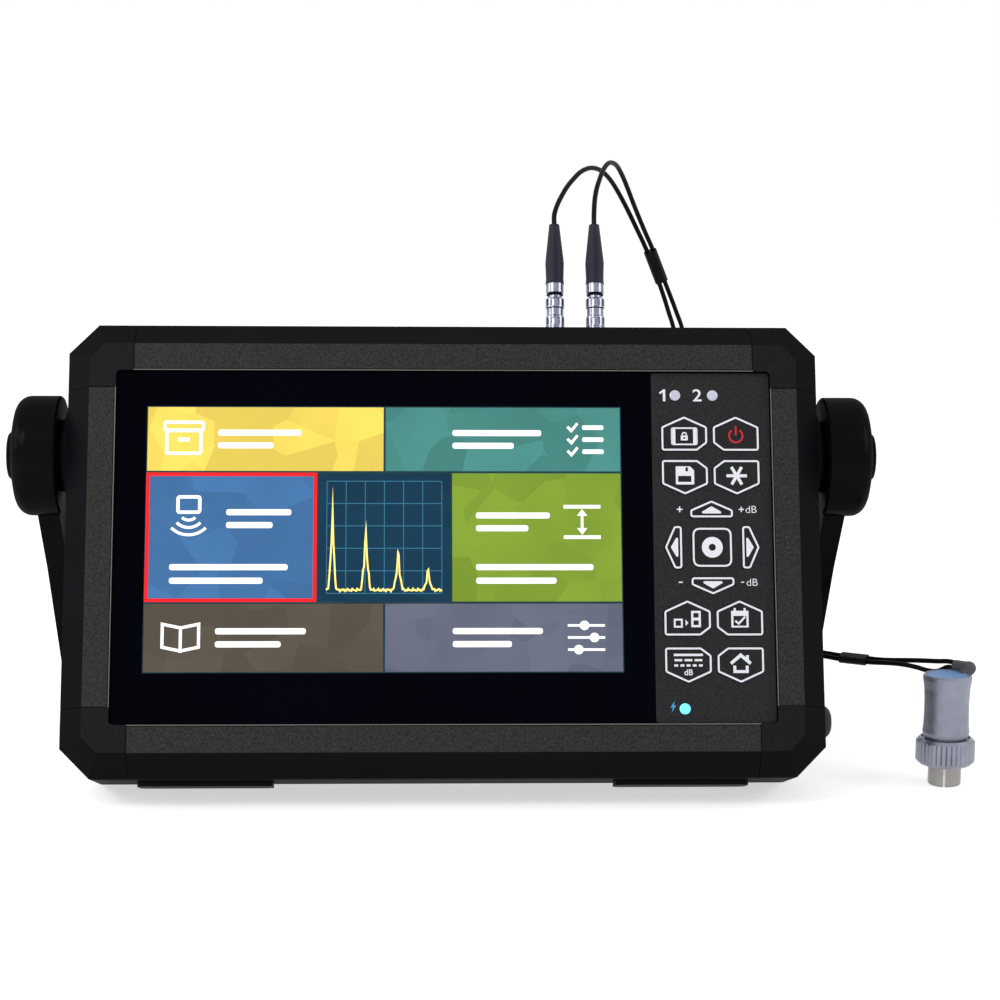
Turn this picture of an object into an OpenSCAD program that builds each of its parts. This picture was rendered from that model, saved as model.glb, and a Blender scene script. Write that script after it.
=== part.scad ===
// Portable ultrasonic flaw detector on its stand handle, with a dual element probe.
// X runs to the right, Y to the back and Z up. The origin is under the middle of the
// instrument and its handle, on the surface that they stand on.
// The case is drawn upright, with the middle of its front face at zero, and then leaned back.

/* [Case] */
// Width of the case
body_w = 246; // [230:1:270]
// Height of the case
body_h = 148.6; // [140:0.2:165]
// Depth of the case
body_d = 47.4; // [44:0.2:60]
// Width of the slanted edge round the front and the back
bevel = 7.8; // [5:0.2:9]
// How far each corner of the outline is cut off
corner_cut = 9.6; // [8.4:0.2:14]
// Depth of the front frame
frame_d = 13.4; // [12:0.2:18]
// Wall of the frame and the back shell
wall = 2.8; // [2:0.1:3.4]
// Lean of the case from upright, in degrees
lean = 18.4; // [10:0.2:22]

/* [Front] */
// Width of the frame beside the opening
frame_side = 16.4; // [16:0.1:20]
// Height of the frame above and below the opening
frame_rail = 16.7; // [16:0.1:20]
// Width of the keypad
keypad_w = 39.1; // [38:0.1:44]
// Length of a corner piece along the top and the bottom
corner_w = 22; // [21:0.5:26]
// Height of a corner piece along the sides
corner_h = 22.3; // [21:0.1:26]
// How far the corner pieces stand proud of the rails
corner_proud = 0.3; // [0.1:0.1:0.6]

/* [Display] */
// Dark border beside the lit area
screen_side = 10.1; // [8:0.1:16]
// Dark border above the lit area
screen_above = 11.7; // [9:0.1:16]
// Dark border below the lit area
screen_below = 16.5; // [9:0.1:18]

/* [Keypad] */
// Width of a five-sided key
key_w = 15; // [13:0.1:15.4]
// Gap between two rows of five-sided keys
key_row_gap = 3.1; // [2.4:0.1:5]
// Distance between the two columns of keys
key_pitch_x = 16.9; // [16.2:0.1:17.6]
// Travel of a key
key_travel = 0.4; // [0.2:0.1:0.6]

/* [Handle] */
// Distance of the pivot behind the front face
pivot_y = 23.7; // [22.6:0.1:24.4]
// Height of the pivot above the middle of the case
pivot_z = 33.7; // [30:0.1:36]
// Radius of the round hubs
hub_r = 19.9; // [18:0.1:22]
// How far a hub stands out from the side of the case
hub_out = 20; // [18:0.1:24]
// Angle of the arms from straight down, with the bar on the surface that the case stands on
stand_angle = 35.3; // [34:0.1:42]
// Width of the arms and the bar, seen from the side
arm_w = 22; // [18:0.5:26]
// Thickness of the bar
bar_t = 11.6; // [10:0.2:12]
// Radius of a release button
button_r = 8; // [6:0.2:9]
// Travel of a release button
button_travel = 2.5; // [1.5:0.1:3]

/* [Plugs] */
// Place of the left socket
socket_left_x = 37.7; // [30:0.1:40]
// Distance between the two sockets
socket_pitch = 13.6; // [12:0.1:18]
// Radius of a plug
plug_r = 3; // [2.8:0.1:3.2]
// Length of the metal body of a plug
plug_l = 17.5; // [17:0.1:22]
// Length of the rubber boot of a plug
boot_l = 21; // [16:0.1:24]

/* [Leads] */
// Diameter of one lead
lead_d = 1.7; // [1.6:0.1:1.8]
// Step between the turns of a coil
coil_pitch = 2.3; // [2.2:0.05:2.6]
// Radius of a coil at the middle of its turns
coil_mid_r = 10.2; // [10:0.1:10.6]
// Length of the band on the front parts of the leads
front_band_l = 13.6; // [8:0.1:14]
// Length of the band on their tails
tail_band_l = 9.6; // [6:0.1:10]

/* [Probe] */
// Radius of the body of the probe at its rims
probe_r = 8.1; // [7.6:0.1:9]
// Radius of the body at its waist
probe_waist_r = 7.4; // [6.6:0.1:7.6]
// Height of the whole probe
probe_h = 37.6; // [36:0.2:44]
// Radius of the knurled nut
nut_r = 9.8; // [9.4:0.1:11]
// Height of the knurled nut
nut_h = 9.4; // [8:0.2:10]
// Radius of the tip
tip_r = 5.5; // [4.6:0.1:6]
// Height of the tip below the nut
tip_h = 7.3; // [5:0.1:8]

/* [Hidden] */

$fn = 48;

// Overrun of every cut past the face that it opens
over = 1;
// Clearance between two pieces that lie side by side
fit = 0.15;
// Running clearance of a pivot in its hub
running = 0.05;

// Inner octagon, where the flat face meets the slanted edge
face_w = body_w - 2 * bevel;
face_h = body_h - 2 * bevel;
face_cut = corner_cut - (2 - sqrt(2)) * bevel;

// Opening of the frame, and the lines where its pieces and the keypad begin
opening_w = body_w - 2 * frame_side;
opening_h = body_h - 2 * frame_rail;
split_x = opening_w / 2 - keypad_w;
rail_half_w = body_w / 2 - corner_w;
rail_half_h = body_h / 2 - corner_h;

// Frame: lip over the front of the glass, and the ledge that the glass lies on
lip_d = 3.4;
lip_chamfer = 0.6;
ledge_w = 3;
ledge_t = 1.6;
rib_d = 9;
opening_r = 1.6;

// Glass and keypad plate
glass_y = 1.5;
plate_t = lip_d - glass_y - fit;
glass_r = 1.2;
module_gap = 0.6;
module_t = 5.4;
module_margin = 3.5;
screen_w = opening_w - keypad_w - 2 * screen_side;
screen_h = opening_h - screen_above - screen_below;
screen_x = -keypad_w / 2;
screen_z = (screen_below - screen_above) / 2;

// Keys, with the heights of their rows as shares of half the opening's height
pad_shift = 0.4;
pad_x = (split_x + opening_w / 2) / 2 - pad_shift;
pad_z = -0.5;
row_shares = [0.644, 0.391, -0.408, -0.674];
arrow_reach_share = 0.219;
row_zs = row_shares * opening_h / 2;
arrow_reach = arrow_reach_share * opening_h / 2;
key_h = row_zs[0] - row_zs[1] - key_row_gap;
arrow_key_share = [1.103, 0.445];
middle_key_share = 1.016;
arrow_long = arrow_key_share[0] * arrow_reach;
arrow_short = arrow_key_share[1] * arrow_reach;
middle_w = middle_key_share * arrow_reach;
key_proud = 0.3;
key_gap = 0.2;
key_depth = 1.2;
key_round = 0.7;
middle_round = 2.4;
dome_r = 1.6;
dome_t = 0.7;
rim_w = 1.8;
rim_inset = ledge_w + 0.4;
board_t = 1.6;
board_gap = 3;

// A five-sided key, as shares of its half width and half height
key_shares = [[-1, -1], [0.55, -1], [1, -0.55], [1, 0.4], [0, 1], [-1, 0.4]];
// An arrow key, as shares of its half length and half width
arrow_shares = [[-1, -1], [1, -1], [1, -0.1], [0, 1], [-1, -0.1]];

// Status lights, with shares of the distance between columns, and distances in from the rails
light_r = 1.75;
light_shares = [-0.666, 0.062, -0.577];
light_top_in = 7.75;
light_low_in = 4.8;
light_zs = [opening_h / 2 - light_top_in, opening_h / 2 - light_top_in, light_low_in - opening_h / 2];

// Back shell, battery bay and its door
back_wall = 2.5;
seal_t = 0.6;
seal_inset = 0.8;
bay_w = 96;
bay_h = 50;
bay_rise = 36.5;
bay_z = -face_h / 2 + bay_rise;
bay_d = 20.9;
bay_wall = 2;
door_lip = 4;
door_round = 4;
pack_gap = 0.3;
cell_r = 9.2;
door_groove_d = 0.8;
door_groove_w = 1.6;
door_groove_share = 0.8;
door_grooves = 7;
standoff_r = 3;
standoff_shares = [[-0.8, -0.7], [0.8, -0.7], [-0.8, 0.7], [0.8, 0.7]];

// Screws
boss_r = 4.2;
boss_inset = 5.4;
screw_r = 1.5;
screw_head_r = 2.9;
screw_head_t = 1.8;
screw_sink = 2.3;
screw_tip = 5;
door_screw_inset = 7;
door_screw_l = 6;
hex_r = 1.3;
hex_d = 1;

// Feet under the case
foot_l = 44;
foot_w = 14;
foot_t = 1.5;
foot_mid_y = 30;
foot_in = 45;
foot_x = body_w / 2 - foot_in;
foot_round = 3;

// Pivots, hubs and handle
pivot_flange_r = 15;
pivot_flange_t = 1.6;
pivot_step_r = 12;
pivot_step_t = 1.6;
pivot_r = 10;
pivot_l = 8;
pivot_stem_r = 6;
pivot_nut_r = 9;
pivot_nut_t = 3;
hub_gap = 0.3;
hub_inner_x = body_w / 2 + pivot_flange_t + pivot_step_t + hub_gap;
hub_face_x = body_w / 2 + hub_out;
hub_end_gap = 0.5;
hub_floor_t = 2;
hub_corner = 5;
hub_slope = 1.6;
hub_edge = 0.6;
arm_clear = 4.8;
arm_t = 7.2;
arm_inner_x = body_w / 2 + arm_clear;
arm_outer_x = arm_inner_x + arm_t;
arm_root_share = 0.68;
arm_neck_share = 2.1;
handle_round = 10;
handle_fillet = 8;
bar_round = 4.8;
bar_joint_in = 15;
bar_joint_x = body_w / 2 - bar_joint_in;
bar_gap = 0.1;
button_proud = 1.2;
button_skirt = 4.6;
button_edge = 0.7;
button_gap = 0.15;
spring_r = 5.2;
spring_wall = 1.2;

// Sockets, plugs and boots
socket_r = 3.9;
socket_bore_r = 2.6;
socket_flange_r = 4.8;
socket_flange_t = 1.2;
socket_depth = 12;
plug_nose_r = 2.5;
plug_nose_l = 8;
plug_seat_gap = 0.1;
plug_ring_l = 3.5;
plug_neck_l = 1.5;
plug_neck_r = 2.2;
plug_waist_r = 2.85;
plug_grip_l = 3.4;
plug_grip_low = 2.6;
plug_notches = 10;
plug_notch_w = 0.9;
plug_notch_d = 0.35;
boot_bulge_r = 3.2;
boot_bulge_share = 0.34;
boot_top_r = 1.75;

// Cap over the side socket
cap_rise = 19;
cap_z = -body_h / 2 + cap_rise;
cap_r = 5.6;
cap_h = 4.4;
cap_rim_h = 1;
cap_top_r = 2.2;
cap_stem_r = 3.4;
cap_stem_l = 6;

// Derived places of the case on its stand
rest_low = body_h / 2 + foot_t;
rest_back = foot_mid_y + foot_w / 2;
face_z = rest_low * cos(lean) + rest_back * sin(lean);
hub_y = pivot_y * cos(lean) + pivot_z * sin(lean);
hub_z = face_z + pivot_z * cos(lean) - pivot_y * sin(lean);
// Centres of the rounded edges of the bar, and the reach at which it meets the surface
bar_b = arm_w / 2 - bar_round;
bar_a = (hub_z - bar_round - bar_b * sin(stand_angle)) / cos(stand_angle);
handle_reach = bar_a + bar_round;
front_y = -face_h / 2 * sin(lean) - corner_proud * cos(lean);
rear_y = hub_y + bar_a * sin(stand_angle) + bar_b * cos(stand_angle) + bar_round;
mid_y = (front_y + rear_y) / 2;

// Lead geometry
lead_sides = 8;
coil_sides = 6;
coil_layers = 4;
coil_turns = 10.25;
rings_a_turn = 24;
turns_a_layer = coil_turns / coil_layers;
coil_outer_r = coil_mid_r + turns_a_layer * coil_pitch / 2;
coil_inner_r = coil_mid_r - turns_a_layer * coil_pitch / 2;
coil_x = 84;
coil_y = 12;
coil_end = 2 * lead_d;
coil_top = (coil_layers - 1) * coil_pitch;
lead_straight = 3;
lead_pair = 2.3;
band_wall = 0.5;
band_share = 0.5;

// Probe
probe_x = 168;
probe_y = -32;
probe_edge = 0.6;
probe_flare_share = 0.12;
nut_edge = 1.2;
nut_ribs = 36;
nut_rib_r = 0.45;
nut_recess = 1;
tip_split = 0.8;
tip_turn = 13;
tip_edge = 0.7;
tip_seat = 3;
relief_turn = 28;
relief_rise = 49;
relief_low = 34.5;
relief_in = 5.5;
relief_neck_l = 5.5;
relief_neck_r = 2.2;
relief_knee_r = 2.4;
relief_l = 5.6;
relief_r = 2;
relief_lead_turn = 132;
relief_pair = 2;
label_recess = 0.25;
label_r = 6.9;
body_low = tip_h + nut_h - nut_recess;

// Points of the leads from the plugs to the coils, chosen by hand
left_front_points = [
    [38.3, 14.9, 189.5], [39.3, 16.8, 191.8], [40.7, 19.4, 194.2], [42.6, 22.8, 197],
    [45.1, 27, 199.7], [48.1, 32, 202.2], [51.9, 38, 203.4], [55.9, 44, 202.4],
    [59.6, 49.2, 199.2], [63.1, 54, 194.4], [66.8, 58.5, 188.3], [70.7, 63, 181.2],
    [74.8, 67.5, 173.4], [80.2, 73.5, 161.1], [82.7, 76.5, 154.8], [84.7, 79.4, 149.4],
    [86.7, 82.6, 144.1], [88.6, 86.6, 135.5], [89.6, 91, 120], [88.8, 90, 98], [86.4, 81, 74],
    [82, 65, 52], [77, 47, 35], [73, 32, 24], [70.6, 23.5, 19],
];
right_front_points = [
    [51.5, 15, 190.2], [51.9, 17.5, 193.4], [52.7, 20.5, 196.6], [54, 24.2, 199.9],
    [55.6, 29, 203], [58, 34.8, 205.2], [60.9, 41, 204.5], [63.5, 46.6, 201.1],
    [66.1, 51.6, 196.1], [68.9, 56.4, 190.1], [72.1, 61.2, 183.5], [74.5, 64.4, 178.7],
    [76.9, 67.5, 174], [82.3, 73.5, 161.6], [85.2, 76.5, 155.1], [87.5, 79.4, 149.8],
    [89.9, 82.6, 144.1], [92.2, 86.6, 135.2], [93.4, 91, 119.5], [92.6, 90, 97],
    [89.8, 81, 72.5], [85.5, 65, 49], [80, 48, 30], [75, 33.5, 17], [71.6, 24.5, 10.2],
];
// Points from the coils to the probe
left_tail_points = [
    [96, -1.2, 11.8], [103, -0.2, 16], [110, 1.2, 21.5], [117, 2.8, 27.5], [123.5, 4.4, 33],
    [129, 5.2, 36], [133.5, 4.6, 35.7], [137.8, 2, 35.4], [146.6, -4, 35.6], [150.2, -6.9, 36],
    [153.8, -9.6, 36.4], [157.4, -12.2, 36.5], [161, -14.8, 36.2], [164.5, -17.4, 35.6],
    [167.4, -19.6, 35.9],
];
right_tail_points = [
    [96, -0.9, 2.2], [103, 0.8, 7], [110, 2.8, 15], [117, 4.9, 23.5], [123.5, 6.9, 31.5],
    [129, 7.6, 36.5], [133.9, 6.8, 36.4], [138.3, 4.1, 36.2], [147.1, -1.9, 36.4],
    [150.6, -4.8, 36.6], [154.2, -7.4, 37], [157.8, -9.8, 37.5], [161.5, -12.4, 38],
    [165, -15.4, 38.5], [167.8, -18.3, 39],
];

// Moves and helpers

// Puts a piece that is drawn on the upright case into its leaning place
module in_case() {
    translate([0, -mid_y, face_z]) rotate([-lean, 0, 0]) children();
}

// Puts a piece that is drawn on a handle hanging straight down into its place
module in_handle() {
    translate([0, hub_y - mid_y, hub_z]) rotate([stand_angle, 0, 0]) children();
}

// Extrudes an outline that is drawn in X and Z from one depth to another
module depth(from, to) {
    translate([0, to, 0]) rotate([90, 0, 0]) linear_extrude(to - from) children();
}

// Extrudes an outline that is drawn in Y and Z from one X to another
module across(from, to) {
    translate([from, 0, 0]) rotate([90, 0, 90]) linear_extrude(to - from) children();
}

// Turns a profile of radius and distance along X round the X axis
module round_x() {
    rotate([0, 90, 0]) rotate_extrude() children();
}

module mirrored(side) {
    mirror([side < 0 ? 1 : 0, 0, 0]) children();
}

module octagon(w, h, cut) {
    x = w / 2;
    z = h / 2;
    polygon([
        [-x + cut, -z], [x - cut, -z], [x, -z + cut], [x, z - cut],
        [x - cut, z], [-x + cut, z], [-x, z - cut], [-x, -z + cut],
    ]);
}

module rounded_rect(w, h, r) {
    offset(r) square([w - 2 * r, h - 2 * r], center = true);
}

// Slanted edge from the face octagon to the full outline, from one depth to another
module slant(face_at, full_at) {
    skin = 0.02;
    side = face_at < full_at ? 1 : -1;
    hull() {
        depth(min(face_at, face_at + side * skin), max(face_at, face_at + side * skin))
            octagon(face_w, face_h, face_cut);
        depth(min(full_at, full_at - side * skin), max(full_at, full_at - side * skin))
            octagon(body_w, body_h, corner_cut);
    }
}

// Front frame: rails and corner pieces

// Section of a rail, with the distance from the middle of the case as its height
module rail_section(half_opening, half_face, half_body) {
    polygon([
        [0, half_opening + lip_chamfer], [0, half_face], [bevel, half_body],
        [frame_d, half_body], [frame_d, half_body - wall], [rib_d, half_body - wall],
        [rib_d, half_face - seal_inset], [lip_d + ledge_t, half_face - seal_inset],
        [lip_d + ledge_t, half_opening - ledge_w], [lip_d, half_opening - ledge_w],
        [lip_d, half_opening], [lip_chamfer, half_opening],
    ]);
}

module rail_flat(side) {
    color("#35352f") in_case() mirror([0, 0, side < 0 ? 1 : 0])
        across(-rail_half_w + fit / 2, rail_half_w - fit / 2)
            rail_section(opening_h / 2, face_h / 2, body_h / 2);
}

module rail_upright(side) {
    color("#35352f") in_case() mirrored(side) rotate([0, 90, 0])
        across(-rail_half_h + fit / 2, rail_half_h - fit / 2)
            rail_section(opening_w / 2, face_w / 2, body_w / 2);
}

module rail_top() { rail_flat(1); }
module rail_bottom() { rail_flat(-1); }
module rail_left() { rail_upright(-1); }
module rail_right() { rail_upright(1); }

module opening_shape(inset) {
    offset(opening_r) square([opening_w - 2 * inset - 2 * opening_r,
        opening_h - 2 * inset - 2 * opening_r], center = true);
}

// One moulded corner, drawn at the top right
module corner_piece(side_x, side_z) {
    color("#3b3b36") in_case() mirrored(side_x) mirror([0, 0, side_z < 0 ? 1 : 0])
        difference() {
            intersection() {
                union() {
                    slant(0, bevel);
                    depth(-corner_proud, 0) octagon(face_w, face_h, face_cut);
                    depth(bevel, frame_d) octagon(body_w, body_h, corner_cut);
                }
                translate([rail_half_w + fit / 2, -over, rail_half_h + fit / 2])
                    cube([body_w / 2, frame_d + over, body_h / 2]);
            }
            depth(-over, lip_d) opening_shape(0);
            depth(lip_d - fit, lip_d + ledge_t + fit) opening_shape(ledge_w);
            difference() {
                union() {
                    depth(lip_d + ledge_t, rib_d)
                        octagon(face_w - 2 * seal_inset, face_h - 2 * seal_inset, face_cut);
                    depth(rib_d - fit, frame_d + over)
                        octagon(body_w - 2 * wall, body_h - 2 * wall, corner_cut);
                }
                translate([face_w / 2 - boss_inset, 0, face_h / 2 - boss_inset])
                    rotate([-90, 0, 0]) cylinder(r = boss_r, h = frame_d);
            }
            translate([face_w / 2 - boss_inset, screw_tip - over, face_h / 2 - boss_inset])
                rotate([-90, 0, 0]) cylinder(r = screw_r + running, h = body_d);
        }
}

module corner_top_left() { corner_piece(-1, 1); }
module corner_top_right() { corner_piece(1, 1); }
module corner_bottom_left() { corner_piece(-1, -1); }
module corner_bottom_right() { corner_piece(1, -1); }

module case_seal() {
    color("#141414") in_case() depth(frame_d, frame_d + seal_t) difference() {
        octagon(body_w - 2 * seal_inset, body_h - 2 * seal_inset, corner_cut);
        octagon(body_w - 2 * wall, body_h - 2 * wall, corner_cut);
    }
}

// Back shell, battery and fasteners

shell_front = frame_d + seal_t;
bay_floor = body_d - back_wall - bay_d;

module at_bosses() {
    for (sx = [-1, 1], sz = [-1, 1])
        translate([sx * (face_w / 2 - boss_inset), 0, sz * (face_h / 2 - boss_inset)])
            rotate([-90, 0, 0]) children();
}

module at_door_screws() {
    for (sx = [-1, 1])
        translate([sx * (bay_w / 2 + door_lip - door_screw_inset), 0, bay_z + bay_h / 2 + door_lip])
            rotate([-90, 0, 0]) children();
}

module at_standoffs() {
    for (p = standoff_shares)
        translate([p[0] * bay_w / 2, 0, bay_z + p[1] * bay_h / 2]) rotate([-90, 0, 0]) children();
}

// Outline of the door, with an ear for each of its screws
module door_outline(grow) {
    offset(delta = grow) translate([0, bay_z]) rounded_rect(bay_w + 2 * door_lip,
        bay_h + 2 * door_lip, door_round);
    for (sx = [-1, 1])
        translate([sx * (bay_w / 2 + door_lip - door_screw_inset), bay_z + bay_h / 2 + door_lip])
            circle(door_screw_inset - door_lip / 2 + grow);
}

module back_shell() {
    color("#2c2c2c") in_case() difference() {
        union() {
            difference() {
                union() {
                    depth(shell_front, body_d - bevel) octagon(body_w, body_h, corner_cut);
                    slant(body_d, body_d - bevel);
                }
                depth(shell_front - over, body_d - bevel)
                    octagon(body_w - 2 * wall, body_h - 2 * wall, corner_cut);
                depth(body_d - bevel - fit, body_d - back_wall)
                    octagon(face_w, face_h, face_cut);
            }
            depth(bay_floor - bay_wall, body_d - back_wall + fit) translate([0, bay_z])
                square([bay_w + 2 * door_lip + 2 * bay_wall, bay_h + 2 * door_lip + 2 * bay_wall],
                    center = true);
            translate([0, shell_front, 0]) at_bosses()
                cylinder(r = boss_r, h = body_d - back_wall - shell_front + fit);
            translate([0, bay_floor - bay_wall - standoff_l, 0]) at_standoffs()
                cylinder(r = standoff_r, h = standoff_l + fit);
            translate([0, body_d - back_wall - door_screw_l, 0]) at_door_screws()
                cylinder(r = boss_r, h = door_screw_l + fit);
        }
        depth(bay_floor, body_d + over) translate([0, bay_z])
            square([bay_w, bay_h], center = true);
        depth(body_d - back_wall, body_d + over) door_outline(0);
        translate([0, shell_front - over, 0]) at_bosses()
            cylinder(r = screw_r + running, h = body_d);
        translate([0, body_d - screw_sink, 0]) at_bosses()
            cylinder(r = screw_head_r + fit, h = screw_sink + over);
        translate([0, body_d - back_wall - door_screw_l + hex_d, 0]) at_door_screws()
            cylinder(r = screw_r + running, h = door_screw_l + over);
        for (x = [socket_left_x, socket_left_x + socket_pitch])
            translate([x, pivot_y, body_h / 2 - wall - over])
                cylinder(r = socket_r + running, h = wall + 2 * over);
        for (side = [-1, 1])
            translate([side * body_w / 2, pivot_y, pivot_z]) rotate([0, -90 * side, 0])
                translate([0, 0, -over])
                    cylinder(r = pivot_stem_r + running, h = wall + 2 * over);
        translate([body_w / 2 - wall - over, pivot_y, cap_z]) rotate([0, 90, 0])
            cylinder(r = cap_stem_r + running, h = wall + 2 * over);
    }
}

// Room between the battery bay and the main board
standoff_l = bay_floor - bay_wall - (lip_d + module_gap + module_t + board_gap) - board_t;

module battery_door() {
    color("#2c2c2c") in_case() difference() {
        depth(body_d - back_wall, body_d - fit) offset(delta = -fit) door_outline(0);
        for (i = [0 : door_grooves - 1])
            translate([0, body_d - fit - door_groove_d,
                bay_z + (i / (door_grooves - 1) - 0.5) * bay_h * door_groove_share])
                translate([-bay_w * door_groove_share / 2, 0, -door_groove_w / 2])
                    cube([bay_w * door_groove_share, door_groove_d + over, door_groove_w]);
        translate([0, body_d - back_wall - over, 0]) at_door_screws()
            cylinder(r = screw_r + fit, h = back_wall + 2 * over);
        translate([0, body_d - screw_head_t, 0]) at_door_screws()
            cylinder(r = screw_head_r + fit, h = back_wall);
    }
}

module battery_pack() {
    low = bay_floor + pack_gap;
    high = body_d - back_wall - pack_gap;
    color("#3a4a63") in_case() depth(low, high) translate([0, bay_z])
        rounded_rect(bay_w - 2 * pack_gap, bay_h - 2 * pack_gap, 3 * pack_gap);
}

module screw(length) {
    difference() {
        union() {
            cylinder(r = screw_r, h = length);
            translate([0, 0, length]) cylinder(r = screw_head_r, h = screw_head_t - fit);
        }
        translate([0, 0, length + screw_head_t - fit - hex_d])
            cylinder(r = hex_r, h = hex_d + over, $fn = 6);
    }
}

module case_screws() {
    color("#8c8c8c") in_case() {
        translate([0, screw_tip, 0]) at_bosses() screw(body_d - screw_sink - screw_tip);
        translate([0, body_d - back_wall - door_screw_l + 2 * hex_d, 0]) at_door_screws()
            screw(door_screw_l + back_wall - screw_head_t - 2 * hex_d);
    }
}

module rubber_feet() {
    color("#161616") in_case() for (side = [-1, 1])
        translate([side * foot_x, foot_mid_y, -body_h / 2 - foot_t]) linear_extrude(foot_t)
            rounded_rect(foot_l, foot_w, foot_round);
}

// Glass, display and keypad

glass_left = -opening_w / 2 + 2 * fit;
keypad_right = opening_w / 2 - 2 * fit;
plate_h = opening_h - 4 * fit;

module plate_outline(left, right) {
    translate([(left + right) / 2, 0]) rounded_rect(right - left, plate_h, glass_r);
}

module display_glass() {
    color("#05050a") in_case() depth(glass_y, glass_y + plate_t)
        plate_outline(glass_left, split_x - fit / 2);
}

module_y = glass_y + plate_t + module_gap;

module display_module() {
    color("#4a4d55") in_case() {
        depth(module_y, module_y + module_t) translate([screen_x, screen_z])
            square([screen_w + 2 * module_margin, screen_h + 2 * module_margin], center = true);
        depth(module_y + module_t, module_y + module_t + board_t) translate([screen_x, screen_z])
            square([screen_w / 2, screen_h / 2], center = true);
    }
}

// Outline of each key at its place: the columns stand each side of the pad, the arrows round it
module five_sided(flip_x, flip_z) {
    scale([flip_x, flip_z]) offset(key_round) offset(-key_round)
        polygon([for (p = key_shares) [p[0] * key_w / 2, p[1] * key_h / 2]]);
}

module arrow(turn) {
    rotate(turn) offset(key_round / 2) offset(-key_round / 2)
        polygon([for (p = arrow_shares) [p[0] * arrow_long / 2, p[1] * arrow_short / 2]]);
}

// Outlines in the order of key_places
module key_outline(i) {
    if (i == 0) five_sided(1, 1);
    if (i == 1) five_sided(-1, 1);
    if (i == 2) five_sided(1, -1);
    if (i == 3) five_sided(-1, -1);
    if (i == 4) arrow(0);
    if (i == 5) arrow(180);
    if (i == 6) arrow(90);
    if (i == 7) arrow(-90);
    if (i == 8) rounded_rect(middle_w, middle_w, middle_round);
    if (i == 9) five_sided(1, 1);
    if (i == 10) five_sided(-1, 1);
    if (i == 11) five_sided(1, -1);
    if (i == 12) five_sided(-1, -1);
}

key_places = [
    [pad_x - key_pitch_x / 2, row_zs[0]], [pad_x + key_pitch_x / 2, row_zs[0]],
    [pad_x - key_pitch_x / 2, row_zs[1]], [pad_x + key_pitch_x / 2, row_zs[1]],
    [pad_x, pad_z + arrow_reach], [pad_x, pad_z - arrow_reach],
    [pad_x - arrow_reach, pad_z], [pad_x + arrow_reach, pad_z], [pad_x, pad_z],
    [pad_x - key_pitch_x / 2, row_zs[2]], [pad_x + key_pitch_x / 2, row_zs[2]],
    [pad_x - key_pitch_x / 2, row_zs[3]], [pad_x + key_pitch_x / 2, row_zs[3]],
];
light_places = [for (i = [0 : 2]) [pad_x + light_shares[i] * key_pitch_x, light_zs[i]]];

module keypad_plate() {
    rim_l = keypad_right - split_x - 2 * rim_inset;
    color("#2b2a2b") in_case() {
        depth(glass_y, glass_y + plate_t) difference() {
            plate_outline(split_x + fit / 2, keypad_right);
            for (i = [0 : len(key_places) - 1])
                translate(key_places[i]) offset(delta = key_gap) key_outline(i);
            for (p = light_places) translate(p) circle(light_r + fit);
        }
        depth(glass_y + plate_t, glass_y + plate_t + dome_t + key_travel)
            translate([(split_x + keypad_right) / 2, 0]) difference() {
                square([rim_l, plate_h - 2 * rim_inset], center = true);
                square([rim_l - 2 * rim_w, plate_h - 2 * rim_inset - 2 * rim_w], center = true);
                for (p = light_places)
                    translate(p - [(split_x + keypad_right) / 2, 0]) circle(light_r + fit);
            }
    }
}

module status_lights() {
    color("#e6e6f2") in_case() for (p = light_places) translate([p[0], 0, p[1]])
        rotate([-90, 0, 0]) {
            translate([0, 0, glass_y]) cylinder(r = light_r, h = plate_t);
            translate([0, 0, glass_y + plate_t])
                cylinder(r = light_r - fit, h = dome_t + key_travel);
        }
}

module key(i, shade) {
    color(shade) in_case() translate([key_places[i][0], 0, key_places[i][1]])
        depth(glass_y - key_proud, glass_y - key_proud + key_depth) key_outline(i);
}

module key_lock() { key(0, "#302f30"); }
module key_power() { key(1, "#302f30"); }
module key_save() { key(2, "#302f30"); }
module key_mark() { key(3, "#302f30"); }
module key_up() { key(4, "#302f30"); }
module key_down() { key(5, "#302f30"); }
module key_left() { key(6, "#302f30"); }
module key_right() { key(7, "#302f30"); }
module key_middle() { key(8, "#302f30"); }
module key_windows() { key(9, "#302f30"); }
module key_checklist() { key(10, "#302f30"); }
module key_lines() { key(11, "#302f30"); }
module key_home() { key(12, "#302f30"); }

board_y = glass_y + plate_t + dome_t + key_travel;

module keypad_board() {
    color("#1d5a3a") in_case() {
        depth(board_y, board_y + board_t) translate([(split_x + keypad_right) / 2, 0])
            square([keypad_right - split_x - 2 * rim_inset, plate_h - 2 * rim_inset],
                center = true);
        for (p = key_places) translate([p[0], board_y - dome_t - key_dome_l, p[1]])
            rotate([-90, 0, 0]) cylinder(r = dome_r, h = dome_t + key_dome_l);
    }
}

// Reach of a switch dome through the plate, up to the travel under its key
key_dome_l = plate_t + key_proud - key_depth;

module main_board() {
    low = bay_floor - bay_wall - standoff_l - board_t;
    color("#1f6040") in_case() {
        depth(low, low + board_t) translate([0, bay_z / 4])
            square([bay_w * 2, bay_h * 2], center = true);
        depth(low + board_t, bay_floor - bay_wall - over) translate([-bay_w / 2, bay_h * 0.4])
            square([bay_w / 2, bay_h / 4], center = true);
        depth(low + board_t, bay_floor - bay_wall) translate([bay_w * 0.4, bay_h * 0.45])
            square([bay_w / 3, bay_h / 3], center = true);
    }
}

// Sockets, plugs and the side cap

socket_xs = [socket_left_x, socket_left_x + socket_pitch];

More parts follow.
